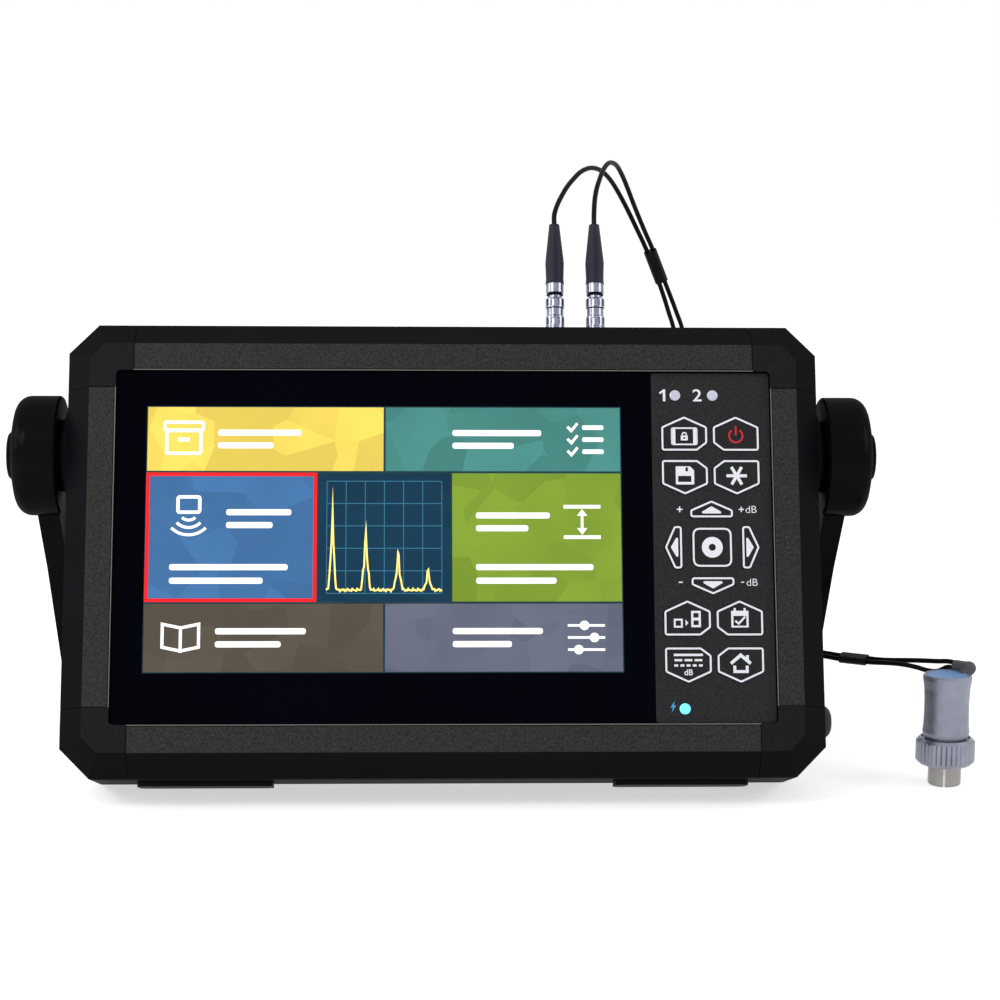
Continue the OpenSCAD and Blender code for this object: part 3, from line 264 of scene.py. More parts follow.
def frame_abs(name, case, face, tones, sheen):
    """Moulded ABS frame: grained flats that face the user, smooth black slanted edges.

    tones gives the brightness of the grain's pits and peaks as shares of the face's colour.
    """
    material, tree, on_piece = start_material(name)
    patch = 60 * case.grain
    place = add_node(tree, "ShaderNodeTexCoord")
    facing = add_node(tree, "ShaderNodeVectorMath", {"operation": "DOT_PRODUCT", 1: FRONT_NORMAL},
                      {0: place.outputs["Normal"]})
    flat = add_node(tree, "ShaderNodeMapRange", {"From Min": 0.93, "From Max": 0.985},
                    {"Value": facing.outputs["Value"]})
    pits = add_node(tree, "ShaderNodeTexNoise",
                    {"Scale": 1 / (case.grain * MM), "Detail": 3.0, "Roughness": 0.6}, on_piece)
    cloud = add_node(tree, "ShaderNodeTexNoise", {"Scale": 1 / (patch * MM)}, on_piece)
    grained = add_node(tree, "ShaderNodeValToRGB", links={"Fac": pits.outputs["Fac"]},
                       stops=((0.36, darker(face, tones[0])), (0.64, darker(face, tones[1]))))
    smooth = add_node(tree, "ShaderNodeValToRGB", links={"Fac": cloud.outputs["Fac"]},
                      stops=((0.3, darker(case.slant, 0.9)), (0.7, darker(case.slant, 1.15))))
    tone = add_node(tree, "ShaderNodeMix", {"data_type": "RGBA"},
                    {0: flat.outputs["Result"], MIX_A: smooth.outputs["Color"],
                     MIX_B: grained.outputs["Color"]})
    height = add_node(tree, "ShaderNodeMath", {"operation": "MULTIPLY"},
                      {0: pits.outputs["Fac"], 1: flat.outputs["Result"]})
    round_edge = add_node(tree, "ShaderNodeBevel", {"samples": 6, "Radius": 0.35 * MM})
    relief = add_node(tree, "ShaderNodeBump", {"Distance": 0.06 * MM, "Strength": 0.6},
                      {"Height": height.outputs["Value"], "Normal": round_edge.outputs["Normal"]})
    on_flat = {"Value": flat.outputs["Result"]}
    dull = add_node(tree, "ShaderNodeMapRange", {"To Min": 0.3, "To Max": 0.5}, on_flat)
    shine = add_node(tree, "ShaderNodeMapRange", {"To Min": 0.0, "To Max": sheen}, on_flat)
    polish = add_node(tree, "ShaderNodeMapRange", {"To Min": 0.06, "To Max": 0.0}, on_flat)
    shader = add_node(tree, "ShaderNodeBsdfPrincipled", {"IOR": 1.53, "Coat Roughness": 0.25},
                      {"Base Color": tone.outputs[MIX_COLOUR], "Roughness": dull.outputs["Result"],
                       "Specular IOR Level": shine.outputs["Result"],
                       "Normal": relief.outputs["Normal"], "Coat Weight": polish.outputs["Result"]})
    add_node(tree, "ShaderNodeOutputMaterial", links={"Surface": shader.outputs["BSDF"]})
    return material


def rubber(name, base, grain=0.35, rough=(0.5, 0.68)):
    """Moulded rubber: matt, with a very fine dull grain."""
    return moulded_plastic(name, base, grain, depth=0.015, rough=rough, specular=0.12, edge=0.25)


def printed_glass(name, base):
    """Float glass printed black behind, with a coating that takes most reflections away."""
    material, tree, on_piece = start_material(name)
    haze = add_node(tree, "ShaderNodeTexNoise", {"Scale": 1 / (35 * MM), "Detail": 3.0}, on_piece)
    tone = add_node(tree, "ShaderNodeValToRGB", links={"Fac": haze.outputs["Fac"]},
                    stops=((0.3, darker(base, 0.8)), (0.75, darker(base, 1.5))))
    dull = add_node(tree, "ShaderNodeMapRange", {"To Min": 0.05, "To Max": 0.11},
                    {"Value": haze.outputs["Fac"]})
    shader = add_node(tree, "ShaderNodeBsdfPrincipled", {"Specular IOR Level": 0.015, "IOR": 1.5},
                      {"Base Color": tone.outputs["Color"], "Roughness": dull.outputs["Result"]})
    add_node(tree, "ShaderNodeOutputMaterial", links={"Surface": shader.outputs["BSDF"]})
    return material


def polyester_overlay(name, base, grain=0.45):
    """Hard-coated polyester film: a fine even texture that keeps its sheen low."""
    material, tree, on_piece = start_material(name)
    texture = add_node(tree, "ShaderNodeTexNoise", {"Scale": 1 / (grain * MM), "Roughness": 0.6},
                       on_piece)
    patch = add_node(tree, "ShaderNodeTexNoise", {"Scale": 1 / (12 * MM)}, on_piece)
    speck = add_node(tree, "ShaderNodeValToRGB", links={"Fac": texture.outputs["Fac"]},
                     stops=((0.32, darker(base, 0.4)), (0.68, darker(base, 1.7))))
    tone = add_node(tree, "ShaderNodeMix", {"data_type": "RGBA", "blend_type": "MULTIPLY", 0: 0.3},
                    {MIX_A: speck.outputs["Color"], MIX_B: patch.outputs["Color"]})
    relief = add_node(tree, "ShaderNodeBump", {"Distance": 0.03 * MM, "Strength": 0.5},
                      {"Height": texture.outputs["Fac"]})
    dull = add_node(tree, "ShaderNodeMapRange", {"To Min": 0.45, "To Max": 0.6},
                    {"Value": texture.outputs["Fac"]})
    shader = add_node(tree, "ShaderNodeBsdfPrincipled", {"Specular IOR Level": 0.12, "IOR": 1.57},
                      {"Base Color": tone.outputs[MIX_COLOUR], "Roughness": dull.outputs["Result"],
                       "Normal": relief.outputs["Normal"]})
    add_node(tree, "ShaderNodeOutputMaterial", links={"Surface": shader.outputs["BSDF"]})
    return material


def screen_ink(name, base, glow=0.0):
    """Screen-printed ink: an even satin film whose tone wavers slightly, giving off glow; on the
    lit screen that is its backlight, on prints and strips it is painted light.
    """
    material, tree, on_piece = start_material(name)
    film = add_node(tree, "ShaderNodeTexNoise", {"Scale": 1 / (0.8 * MM), "Detail": 3.0}, on_piece)
    tone = add_node(tree, "ShaderNodeValToRGB", links={"Fac": film.outputs["Fac"]},
                    stops=((0.3, darker(base, 0.9)), (0.7, base)))
    dull = add_node(tree, "ShaderNodeMapRange", {"To Min": 0.4, "To Max": 0.55},
                    {"Value": film.outputs["Fac"]})
    shader = add_node(tree, "ShaderNodeBsdfPrincipled",
                      {"IOR": 1.5, "Specular IOR Level": 0.3, "Emission Strength": glow},
                      {"Base Color": tone.outputs["Color"], "Emission Color": tone.outputs["Color"],
                       "Roughness": dull.outputs["Result"]})
    add_node(tree, "ShaderNodeOutputMaterial", links={"Surface": shader.outputs["BSDF"]})
    return material


def lamp_lens(name, base, glow):
    """Clouded acrylic lens over a light emitting diode: glossy, duller towards its rim; glow is its
    light, real where the diode is lit and painted where it is not.
    """
    material, tree, on_piece = start_material(name)
    rim = add_node(tree, "ShaderNodeLayerWeight", {"Blend": 0.35})
    cloud = add_node(tree, "ShaderNodeTexNoise", {"Scale": 1 / (0.9 * MM)}, on_piece)
    tone = add_node(tree, "ShaderNodeValToRGB", links={"Fac": cloud.outputs["Fac"]},
                    stops=((0.3, darker(base, 0.88)), (0.7, base)))
    dull = add_node(tree, "ShaderNodeMapRange", {"To Min": 0.12, "To Max": 0.3},
                    {"Value": rim.outputs["Facing"]})
    shader = add_node(tree, "ShaderNodeBsdfPrincipled", {"IOR": 1.49, "Emission Strength": glow},
                      {"Base Color": tone.outputs["Color"], "Emission Color": tone.outputs["Color"],
                       "Roughness": dull.outputs["Result"]})
    add_node(tree, "ShaderNodeOutputMaterial", links={"Surface": shader.outputs["BSDF"]})
    return material


def screen_tile(name, base, glow, seed):
    """Lit liquid crystal tile: angled facets of near tones, laid another way on each tile."""
    material, tree, on_piece = start_material(name)
    shift = add_node(tree, "ShaderNodeMapping", {"Location": (seed * 0.37, 0, seed * 0.21)},
                     on_piece)
    on_tile = {"Vector": shift.outputs["Vector"]}
    facets = add_node(tree, "ShaderNodeTexVoronoi", {"Scale": 1 / (13 * MM)}, on_tile)
    soft = add_node(tree, "ShaderNodeTexNoise", {"Scale": 1 / (30 * MM)}, on_tile)
    grey = add_node(tree, "ShaderNodeRGBToBW", links={"Color": facets.outputs["Color"]})
    both = add_node(tree, "ShaderNodeMath", {"operation": "MULTIPLY"},
                    {0: grey.outputs["Val"], 1: soft.outputs["Fac"]})
    tone = add_node(tree, "ShaderNodeValToRGB", links={"Fac": both.outputs["Value"]},
                    stops=((0.08, darker(base, 0.86)), (0.42, darker(base, 1.12))))
    shader = add_node(tree, "ShaderNodeBsdfPrincipled",
                      {"IOR": 1.5, "Specular IOR Level": 0.1, "Roughness": 0.3,
                       "Emission Strength": glow},
                      {"Base Color": tone.outputs["Color"],
                       "Emission Color": tone.outputs["Color"]})
    add_node(tree, "ShaderNodeOutputMaterial", links={"Surface": shader.outputs["BSDF"]})
    return material


def plated_metal(name, base, rough=(0.14, 0.26)):
    """Plated brass or steel, turned on a lathe: bright, with fine rings round its axis.

    Turned rings are too fine to show here, so they are drawn 1.57 mm wide.
    """
    material, tree, on_piece = start_material(name)
    rings = add_node(tree, "ShaderNodeTexWave",
                     {"wave_type": "BANDS", "bands_direction": "Z",
                      "Scale": 1 / (1.57 * MM * WAVES_A_METRE), "Distortion": 1.5, "Detail": 2.0},
                     on_piece)
    stain = add_node(tree, "ShaderNodeTexNoise", {"Scale": 1 / (2.5 * MM), "Detail": 3.0}, on_piece)
    tone = add_node(tree, "ShaderNodeValToRGB", links={"Fac": stain.outputs["Fac"]},
                    stops=((0.35, darker(base, 0.72)), (0.65, base)))
    relief = add_node(tree, "ShaderNodeBump", {"Distance": 0.01 * MM, "Strength": 0.35},
                      {"Height": rings.outputs["Fac"]})
    dull = add_node(tree, "ShaderNodeMapRange", {"To Min": rough[0], "To Max": rough[1]},
                    {"Value": stain.outputs["Fac"]})
    shader = add_node(tree, "ShaderNodeBsdfPrincipled", {"Metallic": 1.0},
                      {"Base Color": tone.outputs["Color"], "Roughness": dull.outputs["Result"],
                       "Normal": relief.outputs["Normal"]})
    add_node(tree, "ShaderNodeOutputMaterial", links={"Surface": shader.outputs["BSDF"]})
    return material


def blasted_aluminium(name, base, grit=0.22, rough=(0.38, 0.52)):
    """Aluminium, bead blasted and clear anodised: an even soft shine with fine dimples.

    The dimples that beads leave are too fine to show, so they are drawn coarser.
    """
    material, tree, on_piece = start_material(name)
    dimples = add_node(tree, "ShaderNodeTexNoise", {"Scale": 1 / (grit * MM), "Roughness": 0.6},
                       on_piece)
    cloud = add_node(tree, "ShaderNodeTexNoise", {"Scale": 1 / (5 * MM)}, on_piece)
    tone = add_node(tree, "ShaderNodeValToRGB", links={"Fac": cloud.outputs["Fac"]},
                    stops=((0.3, darker(base, 0.88)), (0.7, darker(base, 1.05))))
    round_edge = add_node(tree, "ShaderNodeBevel", {"samples": 4, "Radius": 0.15 * MM})
    relief = add_node(tree, "ShaderNodeBump", {"Distance": 0.012 * MM, "Strength": 0.5},
                      {"Height": dimples.outputs["Fac"], "Normal": round_edge.outputs["Normal"]})
    dull = add_node(tree, "ShaderNodeMapRange", {"To Min": rough[0], "To Max": rough[1]},
                    {"Value": dimples.outputs["Fac"]})
    shader = add_node(tree, "ShaderNodeBsdfPrincipled", {"Metallic": 0.9},
                      {"Base Color": tone.outputs["Color"], "Roughness": dull.outputs["Result"],
                       "Normal": relief.outputs["Normal"]})
    add_node(tree, "ShaderNodeOutputMaterial", links={"Surface": shader.outputs["BSDF"]})
    return material


def lead_jacket(name, base):
    """Extruded PVC jacket: smooth, with a low soft shine and slight scuffs."""
    material, tree, on_piece = start_material(name)
    scuff = add_node(tree, "ShaderNodeTexNoise", {"Scale": 1 / (1.6 * MM), "Detail": 3.0}, on_piece)
    tone = add_node(tree, "ShaderNodeValToRGB", links={"Fac": scuff.outputs["Fac"]},
                    stops=((0.35, base), (0.75, darker(base, 1.7))))
    dull = add_node(tree, "ShaderNodeMapRange", {"To Min": 0.32, "To Max": 0.5},
                    {"Value": scuff.outputs["Fac"]})
    shader = add_node(tree, "ShaderNodeBsdfPrincipled", {"IOR": 1.54, "Specular IOR Level": 0.08},
                      {"Base Color": tone.outputs["Color"], "Roughness": dull.outputs["Result"]})
    add_node(tree, "ShaderNodeOutputMaterial", links={"Surface": shader.outputs["BSDF"]})
    return material


def circuit_board(name, base):
    """Glass-epoxy board under green lacquer: lighter tracks part fields 3 mm wide."""
    material, tree, on_piece = start_material(name)
    tracks = add_node(tree, "ShaderNodeTexBrick",
                      {"Scale": BRICK_SHARE / (3 * MM), "Mortar Size": 0.06, "Color1": (*base, 1),
                       "Color2": (*darker(base, 0.8), 1), "Mortar": (*darker(base, 1.8), 1)},
                      on_piece)
    relief = add_node(tree, "ShaderNodeBump", {"Distance": 0.03 * MM, "Strength": 0.5},
                      {"Height": tracks.outputs["Fac"]})
    shader = add_node(tree, "ShaderNodeBsdfPrincipled", {"Roughness": 0.3, "IOR": 1.5},
                      {"Base Color": tracks.outputs["Color"], "Normal": relief.outputs["Normal"]})
    add_node(tree, "ShaderNodeOutputMaterial", links={"Surface": shader.outputs["BSDF"]})
    return material


# Shapes


def case_box(node):
    """Lowest and highest corner of a CAD node in the case's own space, in millimetres."""
    points = [CASE_INVERSE @ v.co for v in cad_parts[node].data.vertices]
    return (Vector([min(p[i] for p in points) for i in range(3)]),
            Vector([max(p[i] for p in points) for i in range(3)]))


def front_of(node):
    """Depth of a CAD node's front in the case, in millimetres."""
    return case_box(node)[0].y


def finish_piece(name, bm, materials, body, matrix=None, smooth=False):
    """Makes the piece from its mesh, with its materials, and rides it on its body."""
    bmesh.ops.recalc_face_normals(bm, faces=bm.faces[:])
    mesh = bpy.data.meshes.new(name)
    bm.to_mesh(mesh)
    bm.free()
    if matrix is not None:
        mesh.transform(matrix)
    for polygon in mesh.polygons:
        polygon.use_smooth = smooth
    piece = bpy.data.objects.new(name, mesh)
    bpy.context.scene.collection.objects.link(piece)
    for material in materials:
        mesh.materials.append(material)
    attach(piece, body)
    return piece


def rounded(points, radius, steps=5):
    """The outline with its corners rounded."""
    result = []
    count = len(points)
    for i in range(count):
        before = Vector(points[i - 1])
        corner = Vector(points[i])
        after = Vector(points[(i + 1) % count])
        to_before = (before - corner).normalized()
        to_after = (after - corner).normalized()
        half = to_before.angle(to_after) / 2
        reach = min(radius / math.tan(half), (before - corner).length / 2,
                    (after - corner).length / 2)
        start = corner + to_before * reach
        end = corner + to_after * reach
        for k in range(steps + 1):
            t = k / steps
            result.append(tuple((1 - t) ** 2 * start + 2 * t * (1 - t) * corner + t * t * end))
    return result


def circle(x, z, radius, steps=40):
    """Points of a circle."""
    return [(x + radius * math.cos(2 * math.pi * k / steps),
             z + radius * math.sin(2 * math.pi * k / steps)) for k in range(steps)]


def arc(x, z, radius, start, end, steps=24):
    """Points of an arc between two angles in degrees."""
    angles = [math.radians(start + (end - start) * k / steps) for k in range(steps + 1)]
    return [(x + radius * math.cos(a), z + radius * math.sin(a)) for a in angles]


def rectangle(x, z, width, height):
    """Corners of a rectangle about its centre."""
    return [(x - width / 2, z - height / 2), (x + width / 2, z - height / 2),
            (x + width / 2, z + height / 2), (x - width / 2, z + height / 2)]


# Cosine at which the mitre of a sharp corner stops growing
LEAST_COSINE = 0.4


def beside(points, distance, closed):
    """The line moved sideways by distance, with mitred corners."""
    result = []
    count = len(points)
    for i in range(count):
        here = Vector(points[i])
        before = Vector(points[i - 1]) if closed or i > 0 else None
        after = Vector(points[(i + 1) % count]) if closed or i < count - 1 else None
        sides = []
        for a, b in ((before, here), (here, after)):
            if a is not None and b is not None and (b - a).length > 0:
                along = (b - a).normalized()
                sides.append(Vector((-along.y, along.x)))
        middle = sum(sides, Vector((0, 0))).normalized()
        stretch = distance / max(LEAST_COSINE, middle.dot(sides[0]))
        result.append(tuple(here + middle * stretch))
    return result


def doubled_area(points):
    """Twice the area inside the points, above zero where they run anticlockwise."""
    return sum(a[0] * b[1] - b[0] * a[1] for a, b in zip(points, points[1:] + points[:1]))


def join_rings(bm, rings):
    """Joins each ring of vertices to the next one with faces."""
    return [bm.faces.new((one[i - 1], one[i], other[i], other[i - 1]))
            for one, other in zip(rings, rings[1:]) for i in range(len(one))]


def add_loft(bm, loops):
    """Adds a closed solid through the loops of points and gives its faces."""
    rings = [[bm.verts.new(point) for point in loop] for loop in loops]
    made = join_rings(bm, rings)
    return made + [bm.faces.new(rings[0][::-1]), bm.faces.new(rings[-1])]


# Thickness of a print, and how far a mark stands in front of one that it crosses
INK_T = 0.05
LIFT = INK_T / 10
THIN_LIFT = 0.004

# Height of a capital as a share of the font's size
CAPITAL_SHARE = 0.7


def thicken(bm, faces, thick):
    """Gives the flat faces that thickness, and lists all faces of the solid."""
    behind = bmesh.ops.extrude_face_region(bm, geom=faces, use_keep_orig=True)
    moved = [g for g in behind["geom"] if isinstance(g, bmesh.types.BMVert)]
    bmesh.ops.translate(bm, verts=moved, vec=(0, thick, 0))
    return {*faces, *(face for vertex in moved for face in vertex.link_faces)}


def add_plate(bm, outer, holes=(), front=0.0, thick=INK_T, material=0):
    """Adds a flat shape of that thickness whose front lies at depth front in the case."""
    edges = []
    for loop in (outer, *holes):
        points = [bm.verts.new((x, front, z)) for x, z in loop]
        edges += [bm.edges.new((points[i - 1], points[i])) for i in range(len(points))]
    made = bmesh.ops.triangle_fill(bm, use_beauty=True, use_dissolve=False, edges=edges,
                                   normal=(0, -1, 0))
    faces = [g for g in made["geom"] if isinstance(g, bmesh.types.BMFace)]
    for face in thicken(bm, faces, thick):
        face.material_index = material


def add_line(bm, points, width, front, closed=False, material=0):
    """Adds a stroke of that width along the points."""
    sides = [beside(points, way * width / 2, closed) for way in (1, -1)]
    if closed:
        inner, outer = sorted(sides, key=lambda side: abs(doubled_area(side)))
        add_plate(bm, outer, [inner], front, material=material)
    else:
        add_plate(bm, sides[0] + sides[1][::-1], (), front, material=material)


def add_lettering(bm, text, x, z, height, front, weight=0.02, widen=1.0):
    """Adds plain figures about (x, z), height being that of a capital."""
    curve = bpy.data.curves.new("lettering", "FONT")
    curve.body = text
    curve.size = height / CAPITAL_SHARE
    curve.offset = weight * height
    carrier = bpy.data.objects.new("lettering", curve)
    flat = bpy.data.meshes.new_from_object(carrier)
    xs = [v.co.x for v in flat.vertices]
    ys = [v.co.y for v in flat.vertices]
    middle = Vector(((min(xs) + max(xs)) / 2, (min(ys) + max(ys)) / 2, 0))
    to_face = Matrix(((widen, 0, 0, x), (0, 0, 1, front), (0, 1, 0, z), (0, 0, 0, 1)))
    flat.transform(to_face @ Matrix.Translation(-middle))
    before = set(bm.verts)
    bm.from_mesh(flat)
    fresh = [v for v in bm.verts if v not in before]
    thicken(bm, list({face for vertex in fresh for face in vertex.link_faces}), INK_T)
    bpy.data.objects.remove(carrier)
    bpy.data.curves.remove(curve)
    bpy.data.meshes.remove(flat)


# Symbols on the keys, in millimetres: (x, z) is a symbol's middle


def draw_lock(bm, x, z, front, stroke):
    """A screen with thick sides and a padlock in it."""
    screen_w, screen_h, screen_r = 8.2, 5.4, 0.5
    side_in, side_w = 3.55, 1.3
    body_w, body_h, body_r, body_drop = 2.3, 1.7, 0.25, 0.55
    hole_r, shackle_r, shackle_rise, shackle_w = 0.35, 0.7, 0.5, 0.45
    add_line(bm, rounded(rectangle(x, z, screen_w, screen_h), screen_r), stroke * 0.8, front, True)
    for side in (-1, 1):
        add_plate(bm, rectangle(x + side * side_in, z, side_w, screen_h), (), front)
    body = rounded(rectangle(x, z - body_drop, body_w, body_h), body_r)
    add_plate(bm, body, (circle(x, z - body_drop, hole_r, 16),), front)
    add_line(bm, arc(x, z + shackle_rise, shackle_r, 0, 180, 12), shackle_w, front)


def draw_power(bm, x, z, front, stroke):
    """An open ring with a bar."""
    ring_r, ring_drop, open_from, open_to = 2.2, 0.4, 125, 415
    bar_low, bar_high = -0.3, 2.8
    add_line(bm, arc(x, z - ring_drop, ring_r, open_from, open_to, 36), stroke, front)
    add_line(bm, [(x, z + bar_low), (x, z + bar_high)], stroke, front)


def draw_save(bm, x, z, front, stroke):
    """A storage disc with a cut corner."""
    half, cut, corner_r = 3, 1.7, 0.35
    outer = [(x - half, z - half), (x + half, z - half), (x + half, z + cut), (x + cut, z + half),
             (x - half, z + half)]
    label = rectangle(x - 0.1, z - 1.15, 4.3, 2.0)
    shutter = rectangle(x + 0.6, z + 2.0, 0.85, 1.3)
    add_plate(bm, rounded(outer, corner_r, 3), (label, shutter), front)


def draw_mark(bm, x, z, front, stroke):
    """A star of six arms."""
    reach, arm_w = 3.35, stroke * 1.6
    for k in range(3):
        a = math.radians(60 * k)
        step = Vector((math.cos(a), math.sin(a))) * reach
        ends = [(x + side * step.x, z + side * step.y) for side in (-1, 1)]
        add_line(bm, ends, arm_w, front - LIFT * k)


def draw_windows(bm, x, z, front, stroke):
    """A small window that turns into a tall pair."""
    small_x, small_z, small = x - 3.05, z - 1.0, 2.3
    arrow_x, arrow_z, arrow_l, arrow_half = x - 0.7, z - 0.9, 0.9, 1.0
    tall_x, tall_z, tall_w, tall_h = x + 2.7, z + 0.35, 3.1, 5.3
    pane_w, pane_h, pane_off = 1.7, 1.5, 1.2
    add_line(bm, rectangle(small_x, small_z, small, small), stroke * 0.95, front, True)
    add_plate(bm, [(arrow_x, arrow_z - arrow_half), (arrow_x + arrow_l, arrow_z),
                   (arrow_x, arrow_z + arrow_half)], (), front)
    panes = [rectangle(tall_x, tall_z + side * pane_off, pane_w, pane_h) for side in (-1, 1)]
    add_plate(bm, rectangle(tall_x, tall_z, tall_w, tall_h), panes, front)


def draw_checklist(bm, x, z, front, stroke):
    """A calendar leaf with a tick."""
    leaf = rectangle(x, z - 0.2, 5.6, 5.4)
    page = rectangle(x, z - 0.75, 4.2, 3.2)
    tick = [(x - 1.5, z - 0.7), (x - 0.4, z - 1.7), (x + 1.7, z + 0.6)]
    ring_in, ring_rise, ring_w, ring_h = 1.6, 2.85, 0.7, 1.1
    add_plate(bm, leaf, (page,), front)
    for side in (-1, 1):
        ring = rectangle(x + side * ring_in, z + ring_rise, ring_w, ring_h)
        add_plate(bm, ring, (), front - LIFT)
    add_line(bm, tick, stroke, front)


def draw_lines(bm, x, z, front, stroke):
    """A full line over dashes, dots and the unit."""
    line_l, line_t, line_rise = 9.4, 0.75, 2.5
    dash_l, dash_pitch, dash_rise = 2.5, 3.25, 0.8
    dot_l, dot_pitch, dot_drop, thin = 1.25, 1.98, 0.9, 0.7
    unit_h, unit_drop = 1.9, 3.1
    add_plate(bm, rectangle(x, z + line_rise, line_l, line_t), (), front)
    for k in (-1, 0, 1):
        add_plate(bm, rectangle(x + dash_pitch * k, z + dash_rise, dash_l, thin), (), front)
    for k in (-2, -1, 0, 1, 2):
        add_plate(bm, rectangle(x + dot_pitch * k, z - dot_drop, dot_l, thin), (), front)
    add_lettering(bm, "dB", x, z - unit_drop, unit_h, front)


def draw_home(bm, x, z, front, stroke):
    """A house: its roof as a bent line, its walls as a cup."""
    eaves, eaves_rise, ridge_rise = 3.2, 0.2, 2.9
    wall_in, wall_top, floor = 2.0, -0.5, -2.4
    chimney = rectangle(x + 2.15, z + 2.1, 0.9, 1.6)
    roof = [(x - eaves, z + eaves_rise), (x, z + ridge_rise), (x + eaves, z + eaves_rise)]
    walls = [(x - wall_in, z + wall_top), (x - wall_in, z + floor), (x + wall_in, z + floor),
             (x + wall_in, z + wall_top)]
    add_line(bm, roof, stroke * 1.7, front)
    add_plate(bm, chimney, (), front - LIFT)
    add_line(bm, walls, stroke * 1.5, front)


DRAW = {"lock": draw_lock, "power": draw_power, "save": draw_save, "mark": draw_mark,
        "windows": draw_windows, "checklist": draw_checklist, "lines": draw_lines,
        "home": draw_home}

# How far each symbol sits above the middle of its key
SYMBOL_SHIFT = {"lock": -0.9, "power": -0.3, "save": 0.6, "mark": 0.5, "windows": -0.7,
                "checklist": -0.2, "lines": 0.8, "home": 0.3}

# Outline of a five-sided key and of an arrow key, as shares of their half sizes
KEY_SHARES = ((-1, -1), (0.55, -1), (1, -0.55), (1, 0.4), (0, 1), (-1, 0.4))
ARROW_SHARES = ((-1, -1), (1, -1), (1, -0.1), (0, 1), (-1, -0.1))

# How the five-sided keys are mirrored, across and up, and degrees by which the arrows are turned
FLIPS = {"lock": (1, 1), "power": (-1, 1), "save": (1, -1), "mark": (-1, -1),
         "windows": (1, 1), "checklist": (-1, 1), "lines": (1, -1), "home": (-1, -1)}
TURNS = {"up": 0, "left": 90, "down": 180, "right": -90}

# Corners of the lines round the middle key and the others, and how far the lines stand in
MIDDLE_CORNER_R = 2.2
KEY_CORNER_R = 0.7
OUTLINE_IN = 0.03

# Ring on the middle key, and the sides of its outer and inner edge
RING_R, RING_BORE_R = 3.4, 1.15
RING_SIDES, RING_BORE_SIDES = 48, 32


def key_outline(key, low, high, inset):
    """The key's own outline, moved in by inset."""
    x, z = (low.x + high.x) / 2, (low.z + high.z) / 2
    half_w, half_h = (high.x - low.x) / 2, (high.z - low.z) / 2
    if key in FLIPS:
        flip = FLIPS[key]
        points = [(x + a * flip[0] * half_w, z + b * flip[1] * half_h) for a, b in KEY_SHARES]
    elif key in TURNS:
        turn = Matrix.Rotation(math.radians(TURNS[key]), 2)
        long_half, short_half = max(half_w, half_h), min(half_w, half_h)
        turned = [turn @ Vector((a * long_half, b * short_half)) for a, b in ARROW_SHARES]
        points = [(x + p.x, z + p.y) for p in turned]
    else:
        points = rectangle(x, z, 2 * half_w, 2 * half_h)
    return beside(points, inset if doubled_area(points) > 0 else -inset, True)


# The mark on an arrow key, about its middle
ARROW_MARK = ((-3.1, -1.5), (3.1, -1.5), (3.1, -0.9), (0, 0.9), (-3.1, -0.9))
ARROW_MARK_R = 0.3

# Figures and units beside the keys: text, place, height, added weight and width as shares
KEYPAD_FIGURES = (("2", 82.7, 49.9, 4.0, 0.012, 1.15), ("dB", 99.6, 12.0, 2.4, -0.012, 1.05),
                  ("dB", 99.4, -11.9, 2.4, -0.012, 1.05))
ONE_STEM = ((71.85, 47.9), (71.85, 51.85))
ONE_STEM_W = 0.8
ONE_FLAG = ((71.7, 51.5), (70.35, 50.5))
ONE_FLAG_W = 0.62

# Signs beside the keys, each with its place and width, and their strokes as shares of it
KEYPAD_PLUS = ((76.3, 12.0, 1.9), (96.4, 12.0, 1.7))
KEYPAD_MINUS = ((76.2, -11.9, 1.3), (96.3, -11.9, 1.0))
PLUS_SHARE, MINUS_SHARE = 0.22, 0.3

# Charging mark, about its place
BOLT_PLACE = (73.1, -52.1)
BOLT_SHAPE = ((0.5, 1.9), (-0.9, -0.3), (-0.1, -0.2), (-0.6, -2.0), (0.9, 0.5), (0.1, 0.4))

# Opening of the frame, as in the part, and the light line round it that paints a highlight on its
# rounded edge
OPENING_W, OPENING_H = 213.2, 115.2
EDGE_W = 0.3
EDGE_CORNER_R = 1.2

# Domed lenses on the status lamps, whose places are as in the part
LAMP_PLACES = ((75.4, 49.85), (87.7, 49.85), (76.9, -52.8))
LAMP_R = 1.78
LAMP_TOP_R = 0.02
LAMP_RISE = 0.35
LAMP_GAP = 0.02
LAMP_SIDES = 32
LAMP_STEPS = 6
LIT_LAMP = 2

# Tiles of the screen picture, as shares of its width and height: left, bottom, right, top
TILES = {
    "yellow": (0, 0.75, 0.5, 1), "teal": (0.5, 0.75, 1, 1), "blue": (0, 0.26, 0.36, 0.75),
    "graph": (0.36, 0.26, 0.64, 0.75), "green": (0.64, 0.26, 1, 0.75),
    "brown": (0, 0, 0.5, 0.26), "slate": (0.5, 0, 1, 0.26),
}
CHOSEN_TILE = "blue"
CHOSEN_IN, CHOSEN_W = 0.8, 1.15
GRAPH_IN = 3

# Depths of the picture's layers in front of the glass
GROUND_FRONT = 0.03
TILE_T = 0.02
SIGN_FRONT = 0.07

# Places of three lights among those of the signs, after the white one
RED, TRACE, GRID = 1, 2, 3

# Distance of a sign from the edge of its tile, and of the bars from its left edge
SIGN_IN = 12
BARS_IN, BARS_BY_SIGN_IN, LOW_BARS_IN = 22, 23, 8
LOW_BARS_DROP, LOW_BARS_PITCH = 12, 4.4
BAR_ROUND_SHARE = 0.45


def draw_bars(bm, x, z, widths, front, pitch=4.2, thick=2.0):
    """Rounded bars under each other from x to the right, in the place of lines of text."""
    top = z + pitch * (len(widths) - 1) / 2
    for k, width in enumerate(widths):
        shape = rectangle(x + width / 2, top - k * pitch, width, thick)
        add_plate(bm, rounded(shape, thick * BAR_ROUND_SHARE, 4), (), front)


